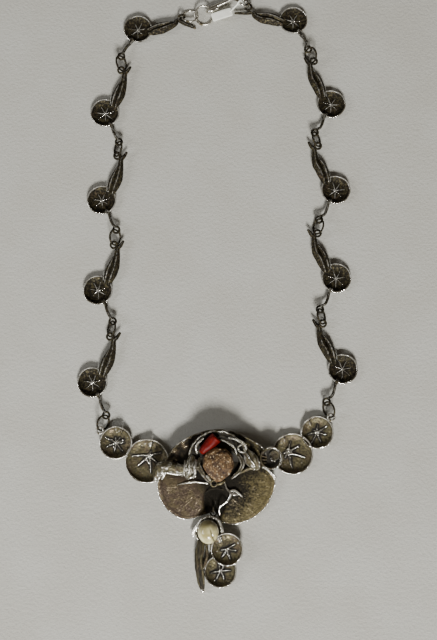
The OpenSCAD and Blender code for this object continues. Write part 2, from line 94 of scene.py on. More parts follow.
LOWER_DROP = dict(at=(0.7, -32.0), r=5.8, foot=2.6, lift=1.7, slit=70, slit_start=0.6, mouth=0.02)
# The rays of their stars: direction and length
RAYS_OUTER_LEFT = [(153, 4.1), (100, 1.8), (53, 2.1), (22, 3.0), (-1, 2.8), (-53, 3.9), (-101, 3.2),
                   (-157, 3.6)]
RAYS_INNER_LEFT = [(180, 5.9), (14, 4.2), (-42, 4.4), (-82, 6.2), (-136, 5.2), (70, 1.6)]
RAYS_OUTER_RIGHT = [(84, 2.6), (31, 3.9), (-14, 3.3), (-68, 3.6), (-117, 4.3), (-167, 3.2), (145, 1.3)]
RAYS_INNER_RIGHT = [(75, 3.6), (29, 4.4), (-18, 6.2), (-74, 5.8), (-116, 2.3), (-162, 1.7)]
RAYS_UPPER_DROP = [(32, 3.0), (-172, 2.0), (-122, 3.2), (-71, 3.6), (-13, 3.2)]
RAYS_LOWER_DROP = [(104, 2.4), (52, 2.8), (3, 3.4), (-118, 3.6), (-63, 3.0), (-170, 3.5)]
# What each side puts together: the inner star's middle and boss, and the direction of the hidden ring
SIDE_PADS = {
    "left": dict(outer=OUTER_LEFT, outer_rays=RAYS_OUTER_LEFT, inner=INNER_LEFT, inner_rays=RAYS_INNER_LEFT,
                 star_at=(0.7, 1.9), boss=0.8, hinge_turn=-20, seed=61),
    "right": dict(outer=OUTER_RIGHT, outer_rays=RAYS_OUTER_RIGHT, inner=INNER_RIGHT,
                  inner_rays=RAYS_INNER_RIGHT, star_at=(-1.6, 0.7), boss=0.45, hinge_turn=190, seed=71),
}
STAR_RING_AT = (25.1, 9.3, 0.95)
HINGE_EYE_R = 0.85
HINGE_WIRE = 0.3
HINGE_H = 1.3

# Small beads of silver: x, y, z, radius and wear
BEADS = {
    "left": [(-25.4, 6.2, 1.3, 0.42, 1.0), (-25.0, 5.3, 1.2, 0.36, 1.0), (-37.5, 11.1, 1.0, 0.3, 1.0)],
    "right": [(25.8, 8.4, 1.1, 0.36, 0.8)],
    "calyx": [(18.9, 6.3, 5.6, 0.45, 1.0), (19.9, 6.0, 5.5, 0.32, 0.9)],
    "drop": [(-0.3, -24.9, 3.4, 0.3, 1.0), (6.8, -21.9, 4.5, 0.4, 0.5), (0.9, -21.0, 4.2, 0.35, 0.9)],
}

# The leaf's edge round its heart: direction, reach and height of the top face
LEAF_HEART = (-0.9, -0.7)
LEAF_EDGE = [
    (-91, 11.0, 0.9), (-88, 12.4, 1.0), (-82, 14.6, 1.2), (-70, 16.6, 1.1), (-55, 17.8, 1.1),
    (-40, 19.1, 1.2), (-20, 20.6, 1.5), (0, 21.2, 2.6), (12, 19.0, 3.8), (32, 20.4, 4.8), (50, 19.0, 5.3),
    (70, 18.2, 5.4), (92, 18.0, 5.2), (115, 17.9, 4.9), (133, 18.7, 4.8), (148, 19.0, 4.8),
    (166, 19.3, 4.7), (184, 20.9, 4.0), (200, 20.9, 2.2), (215, 19.8, 1.3), (230, 17.8, 1.1),
    (246, 13.8, 1.2), (256, 12.2, 1.0), (268.4, 11.0, 0.9),
]
RIM_SPAN = (-80, 246)
# Direction of the pad rims' side that faces the light, where a highlight is painted
LIT_RIM_SIDE = -115
LEAF_CROWN = 4.6
LEAF_BOW = 1.8
LEAF_WALL = 0.8
LEAF_RIM_ROOM = 0.3
# The dark hollow between the two lobes: middle and half sizes
HOLLOW_AT = (-1.3, -8.4)
HOLLOW_HALF = (4.1, 6.4)
HOLLOW_FLOOR = 1.1

# Strands soldered on the leaf: x, y, z and radius
BRANCH = [
    (-7.4, 4.2, 5.7, 1.2), (-9.8, 3.9, 6.0, 2.0), (-11.8, 3.4, 5.9, 1.7), (-14.4, 3.6, 6.1, 1.8),
    (-17.4, 4.3, 6.2, 2.0), (-19.9, 4.0, 5.8, 1.8), (-21.4, 2.7, 5.0, 1.3), (-22.0, 1.0, 4.3, 0.8),
]
KNOB = [(-9.3, 7.6, 5.6, 1.0), (-9.9, 5.2, 6.2, 1.6), (-10.2, 2.6, 6.0, 1.5), (-10.9, 0.6, 5.0, 0.9)]
FOLDS = [
    [(-7.9, 6.4, 6.3, 0.5), (-8.3, 4.2, 7.4, 0.6), (-8.2, 2.0, 6.8, 0.5), (-8.9, 0.6, 5.4, 0.4)],
    [(-9.8, 7.2, 6.5, 0.5), (-10.0, 4.6, 7.8, 0.6), (-10.4, 1.8, 6.9, 0.55), (-11.4, 0.6, 5.2, 0.4)],
    [(-11.6, 6.2, 6.0, 0.45), (-11.8, 4.0, 7.3, 0.5), (-12.2, 2.2, 6.5, 0.5), (-12.8, 1.2, 5.2, 0.4)],
]
BRANCH_EDGE = [
    (-8.0, 0.9, 5.2, 0.45), (-10.4, 0.5, 5.1, 0.6), (-12.6, 1.6, 5.3, 0.5), (-15.0, 1.7, 5.3, 0.6),
    (-17.6, 2.1, 5.5, 0.6), (-19.7, 2.3, 5.3, 0.6), (-21.0, 1.2, 4.6, 0.5),
]
CLAW = [
    [(-20.6, 2.2, 5.0, 0.7), (-22.0, 0.6, 4.2, 0.6), (-22.7, -0.8, 3.4, 0.4)],
    [(-19.8, 2.0, 5.0, 0.6), (-20.9, 0.2, 4.0, 0.5), (-21.4, -1.4, 3.4, 0.3)],
    [(-18.6, 2.2, 5.0, 0.5), (-19.6, 0.4, 4.2, 0.4), (-20.4, -1.2, 3.5, 0.28)],
]
SEPALS = {
    "left": [(-6.6, 7.2, 5.8, 0.35), (-7.0, 5.6, 6.2, 0.7), (-6.6, 3.6, 6.2, 0.85), (-5.2, 1.4, 5.8, 0.75),
             (-3.6, -0.6, 5.2, 0.5), (-2.6, -1.4, 5.0, 0.3)],
    "right": [(5.4, 9.4, 5.6, 0.35), (7.2, 8.0, 6.2, 0.7), (8.4, 5.6, 6.5, 0.8), (7.8, 3.4, 6.2, 0.8),
              (6.2, 1.6, 5.7, 0.6), (4.6, 0.2, 5.2, 0.35)],
}
CONNECTION = [(6.4, 1.5, 5.2, 0.35), (8.6, 2.6, 5.3, 0.5), (10.6, 3.6, 5.4, 0.6), (12.4, 3.6, 5.3, 0.5)]
PETAL = [(10.0, 9.6, 5.9, 1.1), (10.6, 8.4, 6.1, 1.9), (11.6, 6.6, 6.1, 2.3), (12.8, 4.9, 5.9, 1.8),
         (13.4, 3.8, 5.6, 1.0)]
PETAL_EDGE = [(12.2, 8.8, 6.4, 0.3), (13.6, 7.0, 6.5, 0.34), (14.4, 5.0, 6.0, 0.36), (13.9, 3.5, 5.6, 0.4),
              (12.6, 3.3, 5.5, 0.34)]
PETAL_FOLD = [(10.0, 8.6, 7.3, 0.22), (11.0, 6.9, 7.9, 0.3), (12.2, 5.3, 7.4, 0.34), (12.7, 4.2, 6.8, 0.25)]
BAR = [(15.6, 3.9, 5.1, 0.35), (17.2, 3.2, 4.7, 0.36), (18.8, 1.7, 3.9, 0.3), (20.2, 0.4, 3.2, 0.45)]
SPUR = [(-14.2, -2.0, 4.4, 0.2), (-11.6, -1.5, 4.85, 0.34), (-8.4, -1.1, 5.0, 0.38), (-5.8, -1.3, 4.95, 0.3),
        (-3.8, -1.7, 4.8, 0.25)]
TENDRIL = [
    (2.0, -0.9, 5.2, 0.4), (2.5, -2.3, 5.1, 0.28), (3.0, -3.5, 4.9, 0.34), (4.3, -4.9, 4.7, 0.5),
    (4.0, -6.3, 4.4, 0.46), (3.1, -7.7, 4.2, 0.36), (1.8, -8.8, 3.9, 0.36), (0.6, -9.8, 3.5, 0.3),
    (0.2, -11.2, 3.0, 0.34), (0.5, -12.7, 2.4, 0.28),
]
LEAFLET = [(4.3, -4.2, 4.8, 0.4), (5.6, -4.1, 4.9, 0.5), (6.9, -4.9, 4.8, 0.42), (8.4, -6.3, 4.5, 0.16)]
SPUR_LEAF = [(4.5, -5.1, 4.8, 0.4), (5.6, -5.4, 4.8, 0.55), (6.8, -5.6, 4.6, 0.3)]
HOLLOW_RIM = [
    (-5.0, -7.4, 2.6, 0.28), (-4.9, -5.6, 3.2, 0.3), (-3.9, -4.3, 3.6, 0.32), (-2.0, -3.5, 3.9, 0.34),
    (0.4, -3.5, 3.9, 0.34), (2.2, -4.2, 3.7, 0.3), (3.1, -5.6, 3.2, 0.26),
]
KNOT_AT = (-1.6, -1.6, 5.1)
KNOT_ENDS = [
    [(-2.9, -0.3, 5.4, 0.5), (-3.8, 1.0, 5.6, 0.6)],
    [(-0.4, -1.9, 5.3, 0.45), (0.8, -1.6, 5.4, 0.6), (2.0, -0.8, 5.4, 0.5)],
]
CALYX_AT = (18.5, 7.1, 4.0)
CALYX_R = 4.0
CALYX_PAD = dict(at=(19.7, 8.1), r=2.0, foot=0.8, lift=0.4, slit=210, slit_start=0.4,
                 base=CALYX_AT[2] + 0.9, mouth=0.25)
CALYX_RIB = [(15.3, 6.6, 5.4, 0.25), (16.2, 6.4, 4.9, 0.3), (17.0, 6.4, 4.7, 0.2)]
CALYX_RIB_STEPS = (-0.9, 0.2, 1.3)
HOLLOW_CUP_AT = (-0.9, -5.0, 0)
HOLLOW_CUP_R = 3.4
SWIRL = [
    [(3.6, 14.2, 7.9, 0.3), (5.6, 13.9, 8.2, 0.45), (8.0, 12.9, 8.1, 0.5), (9.6, 11.0, 7.6, 0.45),
     (9.0, 9.4, 7.2, 0.4), (7.4, 9.6, 7.3, 0.35), (6.9, 11.0, 7.7, 0.3), (8.0, 11.8, 7.9, 0.22)],
    [(1.0, 13.6, 7.4, 0.3), (3.0, 12.8, 7.7, 0.4), (4.8, 11.6, 7.7, 0.4), (6.0, 10.0, 7.2, 0.3),
     (6.4, 8.6, 6.8, 0.22)],
    [(-7.6, 9.0, 7.0, 0.3), (-7.9, 10.8, 7.6, 0.42), (-7.0, 12.6, 7.9, 0.42), (-5.4, 14.0, 7.9, 0.3)],
]
# The curled leaf behind the bud: middle, inner radius, width, stretch along X, heights and directions
CURL_AT = (-0.3, 6.6)
CURL_IN = 7.0
CURL_WIDE = 3.0
CURL_STRETCH = 1.02
CURL_LOW = 4.9
CURL_HIGH = 7.7
CURL_TOP = 8.6
CURL_SPAN = (-6.0, 178.0)

# The stones: middles and half sizes
STONE_AT = (0, 5.0, 7.8)
STONE_HALF = (5.4, 6.0, 2.5)
STONE_TOP = 10.25
STONE_PIT_WAY = Vector((0.42, -0.52, 0.74))
CORAL = [(-5.3, 9.9, 7.2, 1.4), (-4.3, 11.0, 7.4, 1.75), (-2.6, 12.6, 7.7, 2.0), (-1.0, 14.2, 8.0, 2.05)]
CORAL_CUT = 0.25
PEARL_AT = (-3.6, -18.2, 4.3)
PEARL_HALF = (3.8, 4.25, 3.3)

# The drop
PEARL_CUP_R = 4.9
TWIG = [
    (-6.2, -22.0, 1.7, 1.1), (-6.6, -24.4, 1.6, 1.4), (-6.9, -27.4, 1.6, 1.45), (-6.8, -30.5, 1.6, 1.5),
    (-6.4, -33.4, 1.5, 1.4), (-6.0, -36.0, 1.3, 1.15), (-5.7, -37.8, 1.1, 0.85),
]
TWIG_STRIPS = [
    [(-5.3, -21.8, 2.2, 0.5), (-5.5, -25.0, 2.8, 0.5), (-6.2, -28.0, 3.0, 0.45), (-5.6, -31.6, 2.6, 0.45),
     (-5.2, -35.2, 2.0, 0.4), (-5.2, -37.4, 1.4, 0.3)],
    [(-7.0, -22.0, 2.0, 0.5), (-7.6, -25.6, 2.3, 0.5), (-7.2, -29.4, 2.9, 0.45), (-7.4, -33.0, 2.2, 0.45),
     (-6.6, -36.6, 1.7, 0.35)],
]
SIDE_TWIG = [(-4.4, -22.4, 1.8, 0.5), (-4.1, -24.6, 2.0, 0.55), (-4.0, -26.8, 2.0, 0.5),
             (-4.6, -29.0, 1.8, 0.55), (-5.2, -30.8, 1.7, 0.45)]
COLLAR = [
    (-7.3, -16.6, 2.6, 0.45), (-6.6, -14.9, 2.9, 0.5), (-5.2, -13.7, 3.3, 0.5), (-3.3, -13.2, 3.5, 0.55),
    (-1.2, -13.6, 3.7, 0.5), (0.3, -14.8, 3.8, 0.6), (0.9, -16.4, 3.7, 0.5), (1.3, -18.2, 3.3, 0.6),
    (1.0, -19.8, 2.8, 0.45), (0.2, -21.0, 2.2, 0.4),
]
CUP_SPURS = [
    [(-7.0, -15.6, 2.6, 0.55), (-8.2, -17.4, 2.2, 0.5), (-9.4, -19.3, 1.7, 0.35)],
    [(-7.2, -16.8, 2.2, 0.5), (-8.3, -18.6, 1.9, 0.4), (-9.0, -20.2, 1.4, 0.3)],
]
END_BALL = (-5.6, -38.55, 1.05)
END_BALL_R = 0.92
DROP_NECK = [(-1.6, -26.6, 2.2, 0.5), (-2.4, -24.2, 2.6, 0.7), (-1.7, -21.8, 3.0, 0.6)]
DROP_EYE_AT = (-1.8, -12.1, 1.8)
DROP_EYE_R = 1.0
DROP_STALK = [(-1.9, -13.1, 1.8, 0.35), (-2.1, -14.6, 2.1, 0.4)]

# The clasp
CLASP_TURN = 3
CLASP_LEAN = 22
RING_A = dict(r=3.0, wire=0.35, lean=-CLASP_LEAN)
RING_B = dict(r=3.45, wire=0.4, lean=CLASP_LEAN)
LAST_RING = dict(r=3.0, wire=0.35)
RING_PAST_EYE = 0.2
RINGS_LAP = 1.1
HOOK_TURN = 27
HOOK_LEAN = 50
HOOK_BEND = 1.7
HOOK_LENGTH = 11
HOOK_ROD = 0.75
HOOK_END = 1.8
HOOK_GAP = 0.3
HOOK_PAST_RING = 0.2
HOOK_BALL = HOOK_ROD + 0.1
CATCH_DIRECTION = 35
TAG_AT = (1.3, 174.8, 2.9)
TAG_TURN = 19
TAG_SIZE = (8.0, 3.2, 0.6)
TAG_CORNER = 0.5
TAG_EDGE = 0.13
TIE_R = 0.95
TIE_WIRE = 0.28

# Colours that only one finish uses
STONE_SPECK = (0.50, 0.34, 0.17, 1)
STONE_VEIN = (0.045, 0.022, 0.012, 1)
STONE_GLINT = (0.85, 0.68, 0.42, 1)
STONE_PIT = (0.02, 0.008, 0.006, 1)
CORAL_CLOUD = (0.18, 0.004, 0.0015, 1)
CORAL_FLECK = (0.035, 0.002, 0.001, 1)
PEARL_CLOUD = (0.80, 0.74, 0.40, 1)
# Painted shade of the pearl, in its crease and towards its top
PEARL_SHADE = (0.085, 0.068, 0.024, 1)
TAG_FACE = (0.97, 0.98, 0.90, 1)
FLOOR_CLOUD = (0.46, 0.445, 0.39, 1)
FLOOR_FIBRE = (0.42, 0.41, 0.37, 1)


class NecklaceSizes(bpy.types.PropertyGroup):
    """The sizes of the chain's pads and rings, of every rim and ray, and how finely they are drawn."""

    pad_r: bpy.props.FloatProperty(
        name="Chain pad radius", description="Radius of the pads in the chain",
        default=0.0056, min=0.004, max=0.0058, precision=5, subtype="DISTANCE", unit="LENGTH")
    pad_wall: bpy.props.FloatProperty(
        name="Pad wall", description="Thickness of the cast pad metal",
        default=0.0006, min=0.0004, max=0.0008, precision=5, subtype="DISTANCE", unit="LENGTH")
    rim_r: bpy.props.FloatProperty(
        name="Rim wire", description="Radius of the rolled rim round a pad or the leaf",
        default=0.00027, min=0.0001, max=0.0004, precision=5, subtype="DISTANCE", unit="LENGTH")
    ray_r: bpy.props.FloatProperty(
        name="Ray", description="Radius of a star's ray at its root",
        default=0.0002, min=0.0001, max=0.0003, precision=5, subtype="DISTANCE", unit="LENGTH")
    ring_r: bpy.props.FloatProperty(
        name="Jump ring", description="Radius of a jump ring, to the middle of its wire",
        default=0.0028, min=0.0027, max=0.0029, precision=5, subtype="DISTANCE", unit="LENGTH")
    ring_wire: bpy.props.FloatProperty(
        name="Jump ring wire", description="Radius of the wire of a jump ring",
        default=0.00035, min=0.0003, max=0.0004, precision=5, subtype="DISTANCE", unit="LENGTH")
    pad_steps: bpy.props.IntProperty(
        name="Pad steps", description="Faces round a chain pad", default=96, min=48, max=160)
    leaf_steps: bpy.props.IntProperty(
        name="Leaf steps", description="Faces round the broad leaf", default=264, min=120, max=360)


def colour(name, description, default):
    """One colour that the panel shows."""
    return bpy.props.FloatVectorProperty(
        name=name, description=description, default=default, size=3, min=0, max=1, subtype="COLOR")


class NecklaceColours(bpy.types.PropertyGroup):
    """The colours of the metals, the stones and the floor."""

    bare: colour("Bare silver", "Silver where wear has cleaned it", (0.88, 0.86, 0.79))
    olive: colour("Olive tarnish", "Thin tarnish on open metal", (0.165, 0.142, 0.072))
    rosy: colour("Rosy tarnish", "Warm tarnish on the left of the leaf", (0.165, 0.112, 0.074))
    # Deep is also the colour that painted shade darkens to, where the dark layer is high
    deep: colour("Deep tarnish", "Thick tarnish in hollows", (0.010, 0.008, 0.005))
    leaf_bare: colour("Leaf rubbed", "Silver of the leaf where its tarnish is thin", (0.42, 0.345, 0.22))
    leaf_green: colour("Leaf green", "Matt tarnish on the right of the leaf", (0.112, 0.090, 0.036))
    leaf_rose: colour("Leaf rose", "Matt tarnish on the left of the leaf", (0.056, 0.037, 0.022))
    stone: colour("Bud stone", "The rough stone in the bud", (0.082, 0.043, 0.016))
    stone_pale: colour("Bud stone crust", "Pale pink crust on the rough stone", (0.20, 0.113, 0.044))
    coral: colour("Coral", "The polished coral stub", (0.088, 0.0016, 0.0008))
    pearl: colour("Pearl", "The creased pearl", (0.40, 0.345, 0.14))
    floor: colour("Floor", "The pale surface under the necklace", (0.525, 0.525, 0.485))


# Small sums

def blend(a, b, share):
    """The value at a share of the way from a to b."""
    return a + (b - a) * share


def ease(low, high, value):
    """0 below low, 1 above high, and a smooth rise between."""
    t = min(max((value - low) / (high - low), 0.0), 1.0)
    return t * t * (3 - 2 * t)


def lump(x, y, z=0.0, seed=0.0):
    """Smooth noise from -1 to 1."""
    return noise.noise(Vector((x + 31.7 * seed, y - 12.9 * seed, z + 7.1 * seed)))


def bell(value, width):
    """1 at a value of 0, and less the further the value is from it."""
    return math.exp(-((value / width) ** 2))


def heading(degrees):
    """A level direction, as a vector of length 1."""
    turn = math.radians(degrees)
    return Vector((math.cos(turn), math.sin(turn), 0))


def curve(rows, steps):
    """Rows of numbers read along one smooth curve, with some steps to each row."""
    smooth = []
    for i in range(len(rows) - 1):
        before, here = rows[max(i - 1, 0)], rows[i]
        there, after = rows[i + 1], rows[min(i + 2, len(rows) - 1)]
        for k in range(steps):
            t = k / steps
            smooth.append(tuple(
                0.5 * (2 * q + (r - p) * t + (2 * p - 5 * q + 4 * r - s) * t ** 2
                       + (3 * q - p - 3 * r + s) * t ** 3)
                for p, q, r, s in zip(before, here, there, after)))
    return smooth + [tuple(rows[-1])]


# Parts: each is a closed bmesh with its wear, its dark layer of deep tarnish and painted shade, and the run
# of its grain

def new_part():
    """An empty bmesh with the layers that the finishes read."""
    part = bmesh.new()
    part.verts.layers.float.new("wear")
    part.verts.layers.float.new("soot_and_shade")
    part.verts.layers.float_vector.new("grain")
    return part


def paint(part, vert, wear, soot_and_shade, grain):
    """Writes how worn a vertex is, how dark with deep tarnish and painted shade it is, and where it lies
    along the grain.
    """
    vert[part.verts.layers.float["wear"]] = min(max(wear, 0.0), 1.0)
    vert[part.verts.layers.float["soot_and_shade"]] = min(max(soot_and_shade, 0.0), 1.0)
    vert[part.verts.layers.float_vector["grain"]] = grain


def join(parts):
    """One bmesh of several parts."""
    whole = new_part()
    for part in parts:
        mesh = bpy.data.meshes.new("part")
        part.to_mesh(mesh)
        part.free()
        whole.from_mesh(mesh)
        bpy.data.meshes.remove(mesh)
    return whole


def closed(part):
    """Merges the seam and the poles of a part and turns its faces outwards."""
    bmesh.ops.remove_doubles(part, verts=part.verts[:], dist=1e-5)
    bmesh.ops.recalc_face_normals(part, faces=part.faces[:])
    return part


def round_ends(rows):
    """Stations of a strand: middle, radius and direction, with a dome at each end."""
    places = [Vector(row[:3]) for row in rows]
    radii = [row[3] for row in rows]
    last = len(rows) - 1
    ways = [(places[min(i + 1, last)] - places[max(i - 1, 0)]).normalized() for i in range(last + 1)]
    dome = [math.radians(step) for step in (0, 25, 50, 70)]
    start = [(places[0] - ways[0] * radii[0] * math.cos(a), radii[0] * math.sin(a), ways[0]) for a in dome]
    end = [(places[-1] + ways[-1] * radii[-1] * math.cos(a), radii[-1] * math.sin(a), ways[-1])
           for a in reversed(dome)]
    return start + list(zip(places, radii, ways)) + end


def strand(rows, wear, steps=4, sides=10, flat=1.0, groove=0.0, keel=0.0, bark=0.0, soot_and_shade=0.0, seed=0.0):
    """A rounded strand along rows of x, y, z and radius, which may be keeled, grooved or ridged as bark."""
    stations = round_ends(curve(rows, steps) if steps > 1 else rows)
    part = new_part()
    bmesh.ops.create_circle(part, segments=sides, radius=1)
    bmesh.ops.spin(part, geom=part.verts[:] + part.edges[:], axis=UP, dvec=UP, angle=0,
                   steps=len(stations) - 1)
    run = [0.0]
    for (p, _, _), (q, _, _) in zip(stations, stations[1:]):
        run.append(run[-1] + (q - p).length)
    for vert in part.verts:
        k = round(vert.co.z)
        middle, radius, way = stations[k]
        across, rise = vert.co.x, vert.co.y
        side = way.cross(UP).normalized()
        lift = side.cross(way)
        ridge = lump(across * 1.9, rise * 1.9, run[k] * 0.45, seed)
        ridge += 0.5 * lump(across * 4, rise * 4, run[k], seed)
        swell = (1 + bark * ridge) * blend(1, 1.18 / max(abs(across) + abs(rise), 0.5), keel)
        dip = groove * bell(across, 0.38) if rise > 0 else 0
        vert.co = middle + radius * swell * (side * across + lift * (rise - dip) * flat)
        rubbed = wear + 1.6 * bark * ridge + 0.5 * keel * (ease(0.9, 1, rise) - 0.3)
        paint(part, vert, rubbed, soot_and_shade + 1.6 * dip - 2.2 * bark * min(ridge, 0),
              Vector((across * 1.5, rise * 1.5, run[k] * 0.16)))
    return closed(part)


def wire_ring(middle, turned, mid_r, wire, seed, wear=0.6, soot_and_shade=0.0, steps=56, sides=12):
    """A ring of round wire with a soldered seam. `turned` turns it from lying flat."""
    part = new_part()
    stand = Matrix.Translation((mid_r, 0, 0)) @ Matrix.Rotation(math.pi / 2, 4, "X")
    bmesh.ops.create_circle(part, segments=sides, radius=wire, matrix=stand)
    bmesh.ops.spin(part, geom=part.verts[:] + part.edges[:], axis=UP, angle=2 * math.pi, steps=steps,
                   use_merge=True)
    for vert in part.verts:
        turn = math.atan2(vert.co.y, vert.co.x)
        core = Vector((math.cos(turn), math.sin(turn), 0)) * mid_r
        seam = bell(turn + 1.9, 0.16)
        uneven = 1 + 0.05 * lump(core.x, core.y, 0, seed) + 0.10 * seam
        vert.co = core * (1 + 0.008 * lump(core.x * 0.6, core.y * 0.6, 3, seed)) + (vert.co - core) * uneven
        paint(part, vert, wear + 0.25 * lump(core.x, core.y, vert.co.z, seed) - 0.4 * seam, soot_and_shade + 0.6 * seam,
              Vector((turn * mid_r * 0.2, vert.co.z * 2, 0)))
    bmesh.ops.recalc_face_normals(part, faces=part.faces[:])
    bmesh.ops.transform(part, verts=part.verts[:], matrix=Matrix.Translation(middle) @ turned)
    return part


def on_edge(degrees):
    """Turns a flat ring to stand on edge along a direction."""
    return Matrix.Rotation(math.radians(degrees), 4, "Z") @ Matrix.Rotation(math.pi / 2, 4, "X")


def leaning(degrees, lean):
    """Turns a flat ring to lean over an axis along a direction."""
    return Matrix.Rotation(math.radians(degrees), 4, "Z") @ Matrix.Rotation(math.radians(lean), 4, "X")


def eye_ring(middle, seed, turned=LYING, wear=0.6, soot_and_shade=0.0):
    """The eye of a link, a side pad or the hook."""
    return wire_ring(middle, turned, EYE_R, EYE_WIRE, seed, wear, soot_and_shade, steps=40, sides=10)


def granule(middle, radius, wear, seed, squash=1.0):
    """A small uneven ball of silver."""
    part = new_part()
    bmesh.ops.create_icosphere(part, subdivisions=3, radius=1)
    for vert in part.verts:
        way = vert.co.normalized()
        uneven = 1 + 0.12 * lump(way.x * 1.6, way.y * 1.6, way.z * 1.6, seed)
        vert.co = Vector(middle) + way * radius * uneven
        vert.co.z = middle[2] + (vert.co.z - middle[2]) * squash
        paint(part, vert, wear + 0.3 * lump(*(way * 3), seed), 0, way * 1.5)
    return part


def beads(rows, seed):
    """Granules from rows of x, y, z, radius and wear."""
    return [granule(row[:3], row[3], wear=row[4], seed=seed + k) for k, row in enumerate(rows)]


# Sheets: each starts as a flat fan, which stops short of a full turn so that its seam can be shaped open
FAN_SWEEP = 350.0


def fan(rings, steps):
    """A flat fan of radius 1, still to be shaped, and each vertex's shares of the radius and of the turn."""
    part = new_part()
    bmesh.ops.create_vert(part, co=(0, 0, 0))
    bmesh.ops.spin(part, geom=part.verts[:], axis=UP, dvec=(1 / rings, 0, 0), angle=0, steps=rings)
    bmesh.ops.spin(part, geom=part.verts[:] + part.edges[:], axis=UP, angle=math.radians(FAN_SWEEP),
                   steps=steps)
    shares = {}
    for vert in part.verts:
        turn = math.degrees(math.atan2(vert.co.y, vert.co.x)) % 360
        if turn > (FAN_SWEEP + 360) / 2:
            turn = 0.0
        shares[vert] = (math.hypot(vert.co.x, vert.co.y), min(turn / FAN_SWEEP, 1.0))
    return part, shares


def walled(part, wall):
    """Turns a sheet's top upwards and gives it a wall below, down to the table at most."""
    closed(part)
    if sum(face.normal.z * face.calc_area() for face in part.faces) < 0:
        bmesh.ops.reverse_faces(part, faces=part.faces[:])
    made = bmesh.ops.extrude_face_region(part, geom=part.faces[:], use_keep_orig=True)
    lower = [item for item in made["geom"] if isinstance(item, bmesh.types.BMVert)]
    for vert in lower:
        vert.co.z = max(vert.co.z - wall, 0.0)
    bmesh.ops.recalc_face_normals(part, faces=part.faces[:])
    return part


# Lily pads

